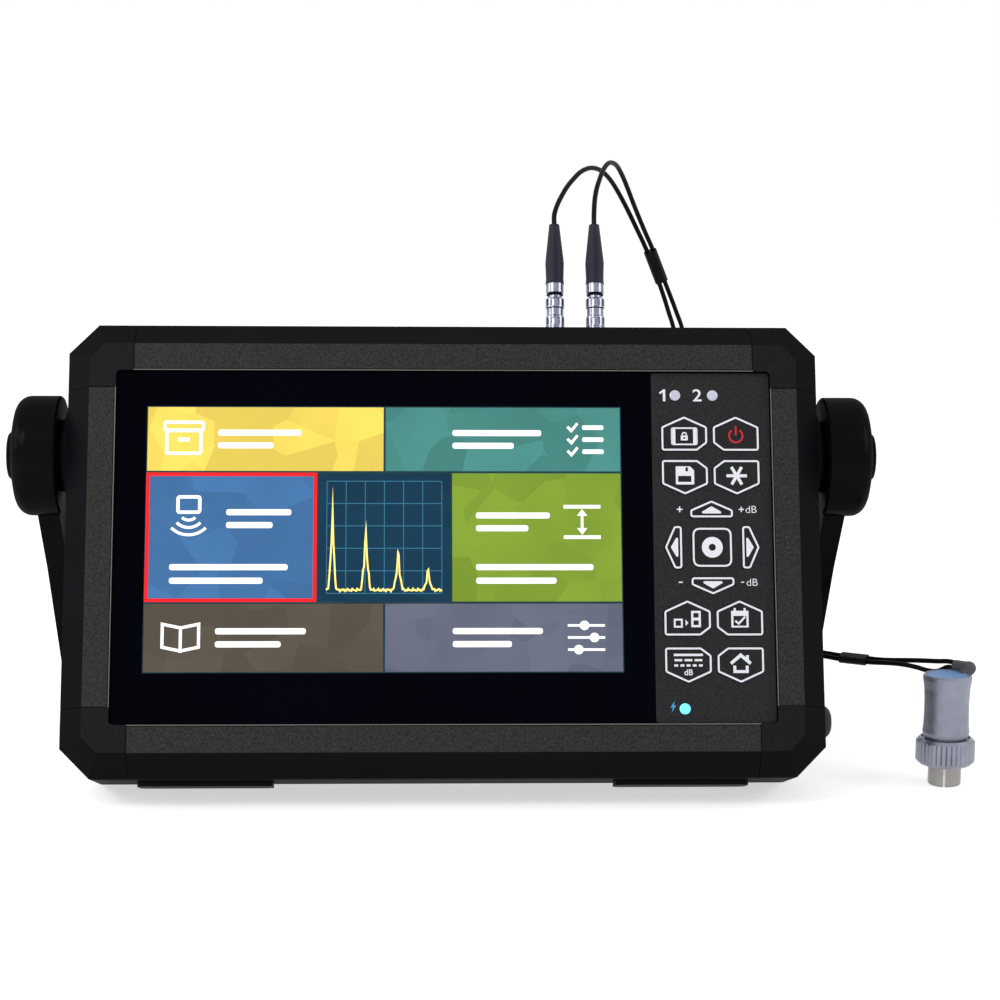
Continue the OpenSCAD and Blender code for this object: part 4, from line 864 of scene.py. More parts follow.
def draw_yellow_sign(bm, x, z, w, front):
    """A box with its lid, and bars."""
    sx = x - w / 2 + SIGN_IN
    stroke = 1.1
    box = rounded(rectangle(sx, z - 1, 11, 7.5), 0.8)
    lid = rounded(rectangle(sx, z + 4.2, 12.4, 2.6), 0.6)
    grip = rounded(rectangle(sx, z - 0.2, 4, 1.3), 0.5)
    add_line(bm, box, stroke, front, True)
    add_line(bm, lid, stroke, front, True)
    add_plate(bm, grip, (), front)
    draw_bars(bm, x - w / 2 + BARS_BY_SIGN_IN, z, (27, 18), front)


def draw_teal_sign(bm, x, z, w, front):
    """A list with ticks, and bars."""
    sx = x + w / 2 - SIGN_IN
    pitch, stroke = 4, 0.9
    for k in (-1, 0, 1):
        row = z + pitch * k
        tick = [(sx - 5.5, row + 0.3), (sx - 4.2, row - 1.1), (sx - 2.2, row + 1.4)]
        item = rounded(rectangle(sx + 2.8, row, 7, 1.5), 0.6)
        add_line(bm, tick, stroke, front)
        add_plate(bm, item, (), front)
    draw_bars(bm, x - w / 2 + BARS_IN, z, (29, 20), front)


def draw_blue_sign(bm, x, z, w, front):
    """A probe over waves, and bars."""
    sx, sz = x - w / 2 + 14, z + 6
    stroke, wave_w, wave_pitch, first_r = 1.1, 0.95, 2.4, 0.6
    wave_from, wave_to = 225, 315
    probe = rounded(rectangle(sx, sz + 4.6, 7, 5), 0.7)
    add_line(bm, probe, stroke, front, True)
    for k in (1, 2, 3):
        wave = arc(sx, sz + 2.5, wave_pitch * k + first_r, wave_from, wave_to, 16)
        add_line(bm, wave, wave_w, front)
    draw_bars(bm, x - w / 2 + 26, sz, (21, 15), front)
    draw_bars(bm, x - w / 2 + LOW_BARS_IN, z - LOW_BARS_DROP, (38, 30), front, LOW_BARS_PITCH)


def draw_green_sign(bm, x, z, w, front):
    """A wall's thickness between two lines, and bars."""
    sx, sz = x + w / 2 - 13, z + 5
    half_l, half_h, stroke = 6, 5, 1.2
    stem_half, stem_w = 2.4, 0.9
    head_half, head_foot, head_tip = 1.7, 2.0, 4.2
    for side in (1, -1):
        wall = [(sx - half_l, sz + side * half_h), (sx + half_l, sz + side * half_h)]
        add_line(bm, wall, stroke, front)
    add_line(bm, [(sx, sz - stem_half), (sx, sz + stem_half)], stem_w, front)
    for side in (-1, 1):
        foot = sz + side * head_foot
        head = [(sx - head_half, foot), (sx + head_half, foot), (sx, sz + side * head_tip)]
        add_plate(bm, head, (), front - LIFT)
    draw_bars(bm, x - w / 2 + LOW_BARS_IN, sz, (24, 17), front)
    draw_bars(bm, x - w / 2 + LOW_BARS_IN, z - LOW_BARS_DROP, (38, 26), front, LOW_BARS_PITCH)


def draw_brown_sign(bm, x, z, w, front):
    """An open book, and bars."""
    sx = x - w / 2 + SIGN_IN
    page_w, stroke = 5.8, 1.0
    for side, lift in ((-1, 0), (1, THIN_LIFT)):
        edge = sx + side * page_w
        page = [(sx, z - 4.2), (edge, z - 3), (edge, z + 4.4), (sx, z + 3.2)]
        add_line(bm, page, stroke, front - lift, True)
    draw_bars(bm, x - w / 2 + BARS_BY_SIGN_IN, z, (29, 21), front)


def draw_slate_sign(bm, x, z, w, front):
    """Three sliders, and bars."""
    sx = x + w / 2 - SIGN_IN
    pitch, knob_r = 3.9, 1.55
    for k, knob in zip((-1, 0, 1), (-2.5, 2.6, -0.6)):
        row = z + pitch * k
        rail = rectangle(sx, row, 12, 0.8)
        add_plate(bm, rail, (), front)
        add_plate(bm, circle(sx + knob, row, knob_r, 24), (), front - 2 * LIFT)
    draw_bars(bm, x - w / 2 + BARS_IN, z, (29, 19), front)


TILE_SIGNS = {"yellow": draw_yellow_sign, "teal": draw_teal_sign, "blue": draw_blue_sign,
              "green": draw_green_sign, "brown": draw_brown_sign, "slate": draw_slate_sign}

# Echoes of the graph, as shares of its width and height: middle, width, peak
ECHOES = ((0.05, 0.018, 0.9), (0.34, 0.022, 0.62), (0.62, 0.022, 0.38), (0.88, 0.022, 0.2))
COLUMNS, ROWS = 6, 5
GRID_W, TRACE_W = 0.25, 0.55
TRACE_STEPS = 120
TRACE_FOOT, TRACE_NOISE, TRACE_TOP = 0.03, 0.012, 0.97
NOISE_WAVES = (1.9, 0.7)
ECHO_WAVES, ECHO_WAVE_SHARE = 5, 0.25


def echo_height(k):
    """Height of the trace at step k as a share of the graph: noise and what each echo adds."""
    noise = math.sin(k * NOISE_WAVES[0]) * math.cos(k * NOISE_WAVES[1])
    height = TRACE_FOOT + TRACE_NOISE * noise
    for middle, width, peak in ECHOES:
        near = (k / TRACE_STEPS - middle) / width
        wave = 1 - ECHO_WAVE_SHARE * (1 - math.cos(near * ECHO_WAVES))
        height += peak * math.exp(-near * near) * wave
    return min(height, TRACE_TOP)


def draw_graph(bm, x, z, w, h, front):
    """A grid with an echo trace: a sending pulse and three echoes that die away."""
    left, bottom = x - w / 2, z - h / 2
    for k in range(COLUMNS + 1):
        add_plate(bm, rectangle(left + w * k / COLUMNS, z, GRID_W, h), (), front, material=GRID)
        if k <= ROWS:
            row = rectangle(x, bottom + h * k / ROWS, w, GRID_W)
            add_plate(bm, row, (), front - THIN_LIFT, material=GRID)
    points = [(left + w * (k / TRACE_STEPS), bottom + h * echo_height(k))
              for k in range(TRACE_STEPS + 1)]
    add_line(bm, points, TRACE_W, front - 2 * LIFT, material=TRACE)


# Leads

# Points of the curve for each point of a route, and sides of a lead
CURVE_STEPS = 5
LEAD_SIDES = 14


def smooth_path(points):
    """A smooth curve through the points."""
    result = []
    for i in range(len(points) - 1):
        p1, p2 = points[i], points[i + 1]
        p0 = points[i - 1] if i > 0 else p1 * 2 - p2
        p3 = points[i + 2] if i < len(points) - 2 else p2 * 2 - p1
        for k in range(CURVE_STEPS):
            t = k / CURVE_STEPS
            result.append(0.5 * (2 * p1 + (p2 - p0) * t + (2 * p0 - 5 * p1 + 4 * p2 - p3) * t * t
                                 + (3 * p1 - p0 - 3 * p2 + p3) * t ** 3))
    result.append(points[-1])
    return result


def tube(bm, path, radius):
    """Adds a closed tube along the path."""
    across = (path[1] - path[0]).orthogonal().normalized()
    turns = [2 * math.pi * k / LEAD_SIDES for k in range(LEAD_SIDES)]
    loops = []
    for i, point in enumerate(path):
        ahead = path[min(i + 1, len(path) - 1)] - path[max(i - 1, 0)]
        along = ahead.normalized()
        across = (across - along * across.dot(along)).normalized()
        up = along.cross(across)
        loops.append([point + radius * (across * math.cos(a) + up * math.sin(a)) for a in turns])
    add_loft(bm, loops)


# Routes of the leads, in millimetres, as in the part
LEFT_FRONT = (
    (38.3, 14.9, 189.5), (39.3, 16.8, 191.8), (40.7, 19.4, 194.2), (42.6, 22.8, 197),
    (45.1, 27, 199.7), (48.1, 32, 202.2), (51.9, 38, 203.4), (55.9, 44, 202.4),
    (59.6, 49.2, 199.2), (63.1, 54, 194.4), (66.8, 58.5, 188.3), (70.7, 63, 181.2),
    (74.8, 67.5, 173.4), (80.2, 73.5, 161.1), (82.7, 76.5, 154.8), (84.7, 79.4, 149.4),
    (86.7, 82.6, 144.1), (88.6, 86.6, 135.5), (89.6, 91, 120), (88.8, 90, 98), (86.4, 81, 74),
    (82, 65, 52), (77, 47, 35), (73, 32, 24), (70.6, 23.5, 19),
)
RIGHT_FRONT = (
    (51.5, 15, 190.2), (51.9, 17.5, 193.4), (52.7, 20.5, 196.6), (54, 24.2, 199.9),
    (55.6, 29, 203), (58, 34.8, 205.2), (60.9, 41, 204.5), (63.5, 46.6, 201.1),
    (66.1, 51.6, 196.1), (68.9, 56.4, 190.1), (72.1, 61.2, 183.5), (74.5, 64.4, 178.7),
    (76.9, 67.5, 174), (82.3, 73.5, 161.6), (85.2, 76.5, 155.1), (87.5, 79.4, 149.8),
    (89.9, 82.6, 144.1), (92.2, 86.6, 135.2), (93.4, 91, 119.5), (92.6, 90, 97),
    (89.8, 81, 72.5), (85.5, 65, 49), (80, 48, 30), (75, 33.5, 17), (71.6, 24.5, 10.2),
)
LEFT_TAIL = (
    (96, -1.2, 11.8), (103, -0.2, 16), (110, 1.2, 21.5), (117, 2.8, 27.5), (123.5, 4.4, 33),
    (129, 5.2, 36), (133.5, 4.6, 35.7), (137.8, 2, 35.4), (146.6, -4, 35.6), (150.2, -6.9, 36),
    (153.8, -9.6, 36.4), (157.4, -12.2, 36.5), (161, -14.8, 36.2), (164.5, -17.4, 35.6),
    (167.4, -19.6, 35.9),
)
RIGHT_TAIL = (
    (96, -0.9, 2.2), (103, 0.8, 7), (110, 2.8, 15), (117, 4.9, 23.5), (123.5, 6.9, 31.5),
    (129, 7.6, 36.5), (133.9, 6.8, 36.4), (138.3, 4.1, 36.2), (147.1, -1.9, 36.4),
    (150.6, -4.8, 36.6), (154.2, -7.4, 37), (157.8, -9.8, 37.5), (161.5, -12.4, 38),
    (165, -15.4, 38.5), (167.8, -18.3, 39),
)

# Coils, one on the other, as in the part
COIL_X, COIL_Y = 84, 12
COIL_MID_R = 10.2
COIL_PITCH = 2.3
COIL_LAYERS = 4
COIL_TURNS = 10.25
TURNS_A_LAYER = COIL_TURNS / COIL_LAYERS
COIL_START = -90
RINGS_A_TURN = 40

# Sockets, the plugs' collars and the ends of the boots, as in the part
SOCKET_X = (37.7, 51.3)
SOCKET_Y = 23.7
COLLAR_Z = 89.6
BOOT_END_Z = 114.1
LEAD_STRAIGHT = 3

# Ring under a plug's collar: its radius at each depth under the collar
SEAL_PROFILE = ((2.25, 0.02), (2.75, 0.02), (2.9, 0.24), (2.75, 0.46), (2.25, 0.46))
SEAL_SIDES = 36

# Relief in the side of the probe, as in the part
PROBE_X, PROBE_Y = 168, -32
RELIEF_TURN = math.radians(28)
RELIEF_RISE = math.radians(49)
RELIEF_LOW = 34.5
RELIEF_IN = 5.5
RELIEF_NECK_L = 5.5
RELIEF_L = 5.6
RELIEF_LEAD_TURN = math.radians(132)
RELIEF_PAIR = 2

# Disc on the end of the probe
DISC_R = 6.85
DISC_BEVEL = 0.2
DISC_RIM_H = 0.3
DISC_SINK = 0.1
DISC_SIDES = 48

# Barrier across the probe's face
BARRIER_T = 0.76
BARRIER_CUT = BARRIER_T / 8
BARRIER_REACH = 5.52
BARRIER_LOW, BARRIER_HIGH = 0.3, 7.2
TIP_TURN = math.radians(13)


def barrier_outline():
    """The barrier seen along the probe, with its corners cut."""
    half_t, reach = BARRIER_T / 2, BARRIER_REACH
    flat_t, flat_reach = half_t - BARRIER_CUT, reach - BARRIER_CUT
    return [(-half_t, -flat_reach), (-flat_t, -reach), (flat_t, -reach), (half_t, -flat_reach),
            (half_t, flat_reach), (flat_t, reach), (-flat_t, reach), (-half_t, flat_reach)]


def relief_way():
    """Direction in which the leads leave the relief."""
    return Vector((math.cos(RELIEF_LEAD_TURN), math.sin(RELIEF_LEAD_TURN), 0))


def relief_exits():
    """Where the two leads leave the relief, the left lead below, in millimetres."""
    foot = Vector((PROBE_X + RELIEF_IN * math.cos(RELIEF_TURN),
                   PROBE_Y + RELIEF_IN * math.sin(RELIEF_TURN), RELIEF_LOW))
    neck = Vector((math.cos(RELIEF_RISE) * math.cos(RELIEF_TURN),
                   math.cos(RELIEF_RISE) * math.sin(RELIEF_TURN), math.sin(RELIEF_RISE)))
    end = foot + neck * RELIEF_NECK_L + relief_way() * RELIEF_L
    return [end + Vector((0, 0, (i - 0.5) * RELIEF_PAIR)) for i in (0, 1)]


def swing(t):
    """How far out the turn lies, from 1 outside to 0 inside."""
    return abs((t / TURNS_A_LAYER + 1) % 2 - 1)


def climb(t):
    """Layers climbed after t turns."""
    layer = math.floor(t / TURNS_A_LAYER + 0.5)
    near = t - layer * TURNS_A_LAYER
    if layer == 0 or layer == COIL_LAYERS:
        return min(layer, COIL_LAYERS - 1)
    return layer - 1 + max(0, min(1, 2 * near + 0.5))


def coil_point(t, low):
    """A point of the coil after t turns."""
    inner = COIL_MID_R - TURNS_A_LAYER * COIL_PITCH / 2
    outer = COIL_MID_R + TURNS_A_LAYER * COIL_PITCH / 2
    r = inner + (outer - inner) * swing(t)
    a = math.radians(COIL_START - 360 * t)
    return Vector((COIL_X + r * math.cos(a), COIL_Y + r * math.sin(a), low + COIL_PITCH * climb(t)))


def vectors(points):
    """The points as vectors."""
    return [Vector(p) for p in points]


def stood(x, y, z):
    """A point of the case's own space in the row frame, in millimetres."""
    return (CASE @ Vector((x, y, z))) / MM


def lead_path(i, diameter):
    """The whole way of lead i, from its boot to the probe, in metres."""
    front = vectors((LEFT_FRONT, RIGHT_FRONT)[i])
    tail = vectors((LEFT_TAIL, RIGHT_TAIL)[i])
    low = diameter / 2 + (COIL_LAYERS * COIL_PITCH if i == 0 else 0)
    outer = COIL_MID_R + TURNS_A_LAYER * COIL_PITCH / 2
    stub = 2 * diameter
    coil_out = Vector((COIL_X + stub, COIL_Y - outer, low))
    coil_in = Vector((COIL_X - outer, COIL_Y + stub, low + (COIL_LAYERS - 1) * COIL_PITCH))
    relief_exit = relief_exits()[i]
    front_route = [stood(SOCKET_X[i], SOCKET_Y, BOOT_END_Z),
                   stood(SOCKET_X[i], SOCKET_Y, BOOT_END_Z + LEAD_STRAIGHT), *front,
                   coil_in + Vector((0, LEAD_STRAIGHT, 0)), coil_in]
    tail_route = [coil_out, coil_out + Vector((LEAD_STRAIGHT, 0, 0)), *tail,
                  relief_exit + relief_way() * LEAD_STRAIGHT, relief_exit]
    count = int(COIL_TURNS * RINGS_A_TURN)
    coil = [coil_point(k / RINGS_A_TURN, low) for k in range(count - 1, 0, -1)]
    way = smooth_path(front_route) + [coil_in - Vector((0, diameter, 0))] + coil
    way += [coil_out - Vector((diameter, 0, 0))] + smooth_path(tail_route)
    return [p * MM for p in way]


# Operators, one for each group of pieces


def give(material, *nodes):
    """Gives the CAD nodes that material."""
    for node in nodes:
        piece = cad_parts[node]
        if not piece.material_slots:
            piece.data.materials.append(material)
        for place in piece.material_slots:
            place.material = material


class FLAW_OT_leads(bpy.types.Operator):
    """Makes the two leads, from their boots through the coils to the probe"""

    bl_idname = "flaw_detector.leads"
    bl_label = "Leads"

    def execute(self, context):
        lead = context.scene.flaw_leads
        jacket = lead_jacket("Extruded PVC jacket", lead.jacket)
        for i, side in enumerate(("left", "right")):
            path = lead_path(i, lead.diameter)
            bm = bmesh.new()
            tube(bm, path, lead.diameter * MM / 2)
            piece = finish_piece(f"lead_{side}", bm, [jacket], "case", smooth=True)
            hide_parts(*(f"lead_{side}_{part}" for part in ("front", "coil", "tail")))
            carried = [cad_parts[n] for n in (f"plug_{side}", f"boot_{side}")]
            if side == "left":
                carried += [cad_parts[n] for n in
                            ("lead_bands", "probe_body", "probe_nut", "probe_tip", "probe_relief")]
        return {"FINISHED"}


class FLAW_OT_case(bpy.types.Operator):
    """Finishes the front frame, back shell, feet, screws, side cap and what is inside"""

    bl_idname = "flaw_detector.case"
    bl_label = "Case"

    def execute(self, context):
        case = context.scene.flaw_case
        inside = context.scene.flaw_inside
        steel = darker(context.scene.flaw_leads.plating, 0.7)
        give(frame_abs("Moulded ABS rails", case, case.flat, tones=(0.402, 1.702), sheen=0.12),
             "rail_top", "rail_bottom", "rail_left", "rail_right")
        give(frame_abs("Moulded ABS corners", case, case.corner, tones=(0.678, 1.378), sheen=0.05),
             "corner_top_left", "corner_top_right", "corner_bottom_left", "corner_bottom_right")
        give(moulded_plastic("Moulded ABS shell", case.shell, case.grain, specular=0, polish=0.12),
             "back_shell", "battery_door")
        give(rubber("Nitrile rubber", case.rubber), "case_seal", "rubber_feet")
        give(rubber("Soft cap rubber", case.cap, grain=0.5), "side_cap")
        give(plated_metal("Zinc-plated steel", steel, rough=(0.25, 0.4)), "case_screws",
             "release_springs")
        give(circuit_board("Lacquered circuit board", inside.board), "keypad_board", "main_board")
        give(polyester_overlay("Shrink-wrapped cell pack", inside.pack, grain=0.8), "battery_pack")
        give(moulded_plastic("Display carrier polycarbonate", inside.carrier, grain=0.6),
             "display_module")
        return {"FINISHED"}


class FLAW_OT_handle(bpy.types.Operator):
    """Finishes the pivots, hubs, release buttons and the handle"""

    bl_idname = "flaw_detector.handle"
    bl_label = "Handle"

    def execute(self, context):
        case = context.scene.flaw_case
        give(moulded_plastic("Glass-filled nylon hub", case.hub, grain=1.2, depth=0.006,
                             rough=(0.26, 0.36), specular=0, edge=0.5, polish=0.07),
             "hub_left", "hub_right", "pivot_left", "pivot_right", "release_left", "release_right")
        give(moulded_plastic("Moulded nylon arm", case.handle, case.grain, depth=0.03,
                             rough=(0.4, 0.55), specular=0, edge=0.3, polish=0.05),
             "arm_left", "arm_right", "grip_bar")
        return {"FINISHED"}


class FLAW_OT_panel(bpy.types.Operator):
    """Finishes the glass, the keypad overlay and the keys"""

    bl_idname = "flaw_detector.panel"
    bl_label = "Glass and keypad"

    def execute(self, context):
        panel = context.scene.flaw_panel
        give(printed_glass("Coated glass, printed black", panel.glass), "display_glass")
        give(polyester_overlay("Textured polyester overlay", panel.keypad), "keypad_plate")
        give(polyester_overlay("Domed polyester key", panel.key, grain=0.4),
             *(f"key_{key}" for key in KEYS))
        give(lamp_lens("Clouded acrylic", panel.lamp, glow=0), "status_lights")
        return {"FINISHED"}


class FLAW_OT_painted_edge_highlight(bpy.types.Operator):
    """Lays a light grey line along the inner edge of the frame: a painted highlight of its rounded
    edge
    """

    bl_idname = "flaw_detector.opening_edge"
    bl_label = "Opening edge"

    def execute(self, context):
        case = context.scene.flaw_case
        # A painted highlight: light grey glossy plastic in place of light caught on the opening's
        # rounded edge
        edge = moulded_plastic("Polished mould edge", case.edge, grain=2.0, depth=0.01,
                               rough=(0.25, 0.4), specular=0.5, edge=0.1)
        line = rounded(rectangle(0, 0, OPENING_W + EDGE_W, OPENING_H + EDGE_W), EDGE_CORNER_R)
        bm = bmesh.new()
        add_line(bm, line, EDGE_W, -INK_T, True)
        finish_piece("opening_edge", bm, [edge], "case", CASE)
        return {"FINISHED"}


class FLAW_OT_key_prints(bpy.types.Operator):
    """Prints the outline and the symbol on each key"""

    bl_idname = "flaw_detector.key_prints"
    bl_label = "Key prints"

    def execute(self, context):
        panel = context.scene.flaw_panel
        # Both inks glow a little: painted light, as printed ink gives none of its own
        white = screen_ink("White screen-print ink", panel.ink, glow=0.08)
        red = screen_ink("Red screen-print ink", panel.power, glow=0.25)
        for key in KEYS:
            low, high = case_box(f"key_{key}")
            x, z = (low.x + high.x) / 2, (low.z + high.z) / 2
            front = low.y - INK_T
            outline = key_outline(key, low, high, panel.outline / 2 + OUTLINE_IN)
            corner_r = MIDDLE_CORNER_R if key == "middle" else KEY_CORNER_R
            bm = bmesh.new()
            add_line(bm, rounded(outline, corner_r), panel.outline, front, True)
            first = len(bm.faces)
            if key in DRAW:
                DRAW[key](bm, x, z + SYMBOL_SHIFT[key], front, panel.stroke)
            elif key in TURNS:
                turn = Matrix.Rotation(math.radians(TURNS[key]), 2)
                turned = [turn @ Vector(p) for p in ARROW_MARK]
                mark = rounded([(x + p.x, z + p.y) for p in turned], ARROW_MARK_R, 3)
                add_plate(bm, mark, (), front)
            else:
                bore = circle(x, z, RING_BORE_R, RING_BORE_SIDES)
                add_plate(bm, circle(x, z, RING_R, RING_SIDES), (bore,), front)
            inks = [white]
            if key == "power":
                inks.append(red)
                bm.faces.ensure_lookup_table()
                for face in bm.faces[first:]:
                    face.material_index = 1
            finish_piece(f"print_{key}", bm, inks, f"{key}_key_pad", CASE)
        return {"FINISHED"}


class FLAW_OT_keypad_prints(bpy.types.Operator):
    """Prints the figures, signs and charging mark beside the keys"""

    bl_idname = "flaw_detector.keypad_prints"
    bl_label = "Keypad prints"

    def execute(self, context):
        panel = context.scene.flaw_panel
        # Both inks glow a little: painted light, as printed ink gives none of its own
        white = screen_ink("White overlay ink", panel.ink, glow=0.08)
        blue = screen_ink("Blue overlay ink", panel.bolt, glow=0.2)
        front = front_of("keypad_plate") - INK_T
        bm = bmesh.new()
        for text, x, z, height, weight, widen in KEYPAD_FIGURES:
            add_lettering(bm, text, x, z, height, front, weight, widen)
        add_line(bm, ONE_STEM, ONE_STEM_W, front)
        add_line(bm, ONE_FLAG, ONE_FLAG_W, front - LIFT)
        for x, z, size in KEYPAD_PLUS:
            add_plate(bm, rectangle(x, z, size, size * PLUS_SHARE), (), front)
            add_plate(bm, rectangle(x, z, size * PLUS_SHARE, size), (), front - LIFT)
        for x, z, size in KEYPAD_MINUS:
            add_plate(bm, rectangle(x, z, size, size * MINUS_SHARE), (), front)
        bolt_x, bolt_z = BOLT_PLACE
        bolt = [(bolt_x + a, bolt_z + b) for a, b in BOLT_SHAPE]
        add_plate(bm, bolt, (), front, material=1)
        finish_piece("keypad_prints", bm, [white, blue], "case", CASE)
        return {"FINISHED"}


class FLAW_OT_lamps(bpy.types.Operator):
    """Sets a domed lens on each status lamp"""

    bl_idname = "flaw_detector.lamps"
    bl_label = "Status lamps"

    def execute(self, context):
        panel = context.scene.flaw_panel
        # The unlit lenses glow a little: painted light, as an unlit lamp gives none; the lit lens
        # is a real lamp
        unlit = lamp_lens("Clouded acrylic lens", panel.lamp, glow=0.12)
        lit = lamp_lens("Lit acrylic lens", panel.charge, glow=0.85)
        foot = front_of("status_lights") - LAMP_GAP
        bm = bmesh.new()
        for k, (x, z) in enumerate(LAMP_PLACES):
            loops = []
            for step in range(LAMP_STEPS + 1):
                a = math.pi / 2 * step / LAMP_STEPS
                r = max(LAMP_R * math.cos(a), LAMP_TOP_R)
                y = foot - LAMP_RISE * math.sin(a)
                loops.append([(px, y, pz) for px, pz in circle(x, z, r, LAMP_SIDES)])
            for face in add_loft(bm, loops):
                face.material_index = 1 if k == LIT_LAMP else 0
        finish_piece("lamp_lenses", bm, [unlit, lit], "case", CASE, smooth=True)
        return {"FINISHED"}


class FLAW_OT_screen(bpy.types.Operator):
    """Lights the display with a plain picture: coloured tiles, simple signs and an echo graph"""

    bl_idname = "flaw_detector.screen"
    bl_label = "Screen picture"

    def execute(self, context):
        screen = context.scene.flaw_screen
        glass = front_of("display_glass")
        left = screen.centre_x - screen.width / 2
        bottom = screen.centre_z - screen.height / 2

        def area(name):
            """The tile's middle and size in the case, in millimetres."""
            x0, z0, x1, z1 = TILES[name]
            return (left + screen.width * (x0 + x1) / 2, bottom + screen.height * (z0 + z1) / 2,
                    screen.width * (x1 - x0), screen.height * (z1 - z0))

        tiles = [screen_tile("Screen ground", screen.ground, screen.glow / 2, 0)]
        tiles += [screen_tile(f"Screen tile, {name}", getattr(screen, name), screen.glow, k + 1)
                  for k, name in enumerate(TILES)]
        front = glass - GROUND_FRONT
        ground = rectangle(screen.centre_x, screen.centre_z, screen.width, screen.height)
        bm = bmesh.new()
        add_plate(bm, ground, (), front, TILE_T)
        for k, name in enumerate(TILES):
            x, z, w, h = area(name)
            tile = rectangle(x, z, w - screen.gap, h - screen.gap)
            add_plate(bm, tile, (), front - TILE_T, TILE_T, k + 1)
        finish_piece("screen_tiles", bm, tiles, "case", CASE)

        lights = [screen_ink("Lit white", screen.white, glow=0.5),
                  screen_ink("Lit red", screen.chosen, glow=0.6),
                  screen_ink("Lit trace", screen.trace, glow=0.7),
                  screen_ink("Lit grid", screen.grid, glow=0.4)]
        front = glass - SIGN_FRONT
        bm = bmesh.new()
        x, z, w, h = area(CHOSEN_TILE)
        chosen = rectangle(x, z, w - 2 * CHOSEN_IN, h - 2 * CHOSEN_IN)
        add_line(bm, chosen, CHOSEN_W, front, True, RED)
        for name, draw in TILE_SIGNS.items():
            x, z, w, h = area(name)
            draw(bm, x, z, w, front)
        x, z, w, h = area("graph")
        draw_graph(bm, x, z, w - 2 * GRAPH_IN, h - 2 * GRAPH_IN, front)
        finish_piece("screen_signs", bm, lights, "case", CASE)
        return {"FINISHED"}


class FLAW_OT_connectors(bpy.types.Operator):
    """Finishes the sockets, plugs, boots and the sleeves on the leads"""

    bl_idname = "flaw_detector.connectors"
    bl_label = "Connectors"

    def execute(self, context):
        lead = context.scene.flaw_leads
        give(plated_metal("Nickel-plated brass", lead.plating), "coax_sockets", "plug_left",
             "plug_right")
        give(rubber("Boot elastomer", lead.boot, grain=0.6, rough=(0.35, 0.5)), "boot_left",
             "boot_right")
        give(rubber("Heat-shrunk sleeve", lead.sleeve, grain=0.8, rough=(0.35, 0.5)), "lead_bands")
        return {"FINISHED"}


class FLAW_OT_plug_seals(bpy.types.Operator):
    """Sets the black ring under the collar of each plug"""

    bl_idname = "flaw_detector.plug_seals"
    bl_label = "Plug rings"

    def execute(self, context):
        black = rubber("Ring rubber", context.scene.flaw_case.rubber, grain=0.4)
        for side, x in zip(("left", "right"), SOCKET_X):
            bm = bmesh.new()
            rings = [[bm.verts.new((px, py, COLLAR_Z - drop))
                      for px, py in circle(x, SOCKET_Y, r, SEAL_SIDES)] for r, drop in SEAL_PROFILE]
            join_rings(bm, rings + rings[:1])
            finish_piece(f"plug_seal_{side}", bm, [black], "case", CASE, smooth=True)
        return {"FINISHED"}


class FLAW_OT_probe(bpy.types.Operator):
    """Finishes the probe and sets the coloured disc on its end and the strip in its face"""

    bl_idname = "flaw_detector.probe"
    bl_label = "Probe"

    def execute(self, context):
        lead = context.scene.flaw_leads
        give(blasted_aluminium("Bead-blasted anodised aluminium", lead.probe), "probe_body")
        give(blasted_aluminium("Knurled anodised aluminium", lead.probe, grit=0.3,
                               rough=(0.25, 0.4)), "probe_nut")
        give(blasted_aluminium("Ground face ring", lead.tip, grit=0.15, rough=(0.2, 0.35)),
             "probe_tip")
        give(rubber("Grey relief elastomer", lead.relief, grain=0.5, rough=(0.4, 0.55)),
             "probe_relief")
        disc = screen_ink("Blue disc lacquer", lead.disc)
        # The cork strip glows a little: painted light, as cork gives none of its own
        cork = screen_ink("Cork sound barrier", lead.barrier, glow=0.1)

        place = Matrix.Translation((PROBE_X, PROBE_Y, 0)) @ Matrix.Rotation(-TIP_TURN, 4, "Z")
        bm = bmesh.new()
        add_loft(bm, [[place @ Vector((a, b, z)) for a, b in barrier_outline()]
                      for z in (BARRIER_LOW, BARRIER_HIGH)])
        finish_piece("probe_barrier", bm, [cork], "case", Matrix.Scale(MM, 4))

        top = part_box("probe_body")[1].z / MM - DISC_SINK
        bm = bmesh.new()
        add_loft(bm, [[(x, y, z) for x, y in circle(PROBE_X, PROBE_Y, r, DISC_SIDES)]
                      for r, z in ((DISC_R, top - DISC_RIM_H), (DISC_R - DISC_BEVEL, top))])
        finish_piece("probe_disc", bm, [disc], "case", Matrix.Scale(MM, 4))
        return {"FINISHED"}


# Camera, found from the photograph, in degrees and millimetres
CAMERA_TURN = (81.4603, -0.3631, -2.0313)
SENSOR_W = 36

# Soft lamps: name, place and size in millimetres, and the setting that holds its power
LAMPS = (("key lamp", (-650, -750, 850), 450, "key_power"),
         ("left lamp", (-1000, -100, 500), 500, "side_power"),
         ("right lamp", (1000, -300, 600), 500, "side_power"))

# Half the floor's width in metres, and the light that it adds so that it shows white
FLOOR_HALF = 6.0
FLOOR_LIFT = 0.58


class FLAW_OT_stage(bpy.types.Operator):
    """Sets the camera, the pale floor and the soft lamps"""

    bl_idname = "flaw_detector.stage"
    bl_label = "Stage"

    def execute(self, context):
        scene = context.scene
        studio = scene.flaw_studio
        data = bpy.data.cameras.new("camera")
        data.lens = studio.lens
        data.sensor_width = SENSOR_W
        camera = bpy.data.objects.new("camera", data)
        camera.location = Vector((studio.camera_x, studio.camera_y, studio.camera_z)) * MM
        camera.rotation_euler = [math.radians(a) for a in CAMERA_TURN]
        scene.collection.objects.link(camera)
        scene.camera = camera
        scene.view_settings.view_transform = "Standard"
        add_floor()
        add_world(scene, studio.fill)
        for name, place, size, power in LAMPS:
            add_lamp(name, place, size, getattr(studio, power))
        return {"FINISHED"}


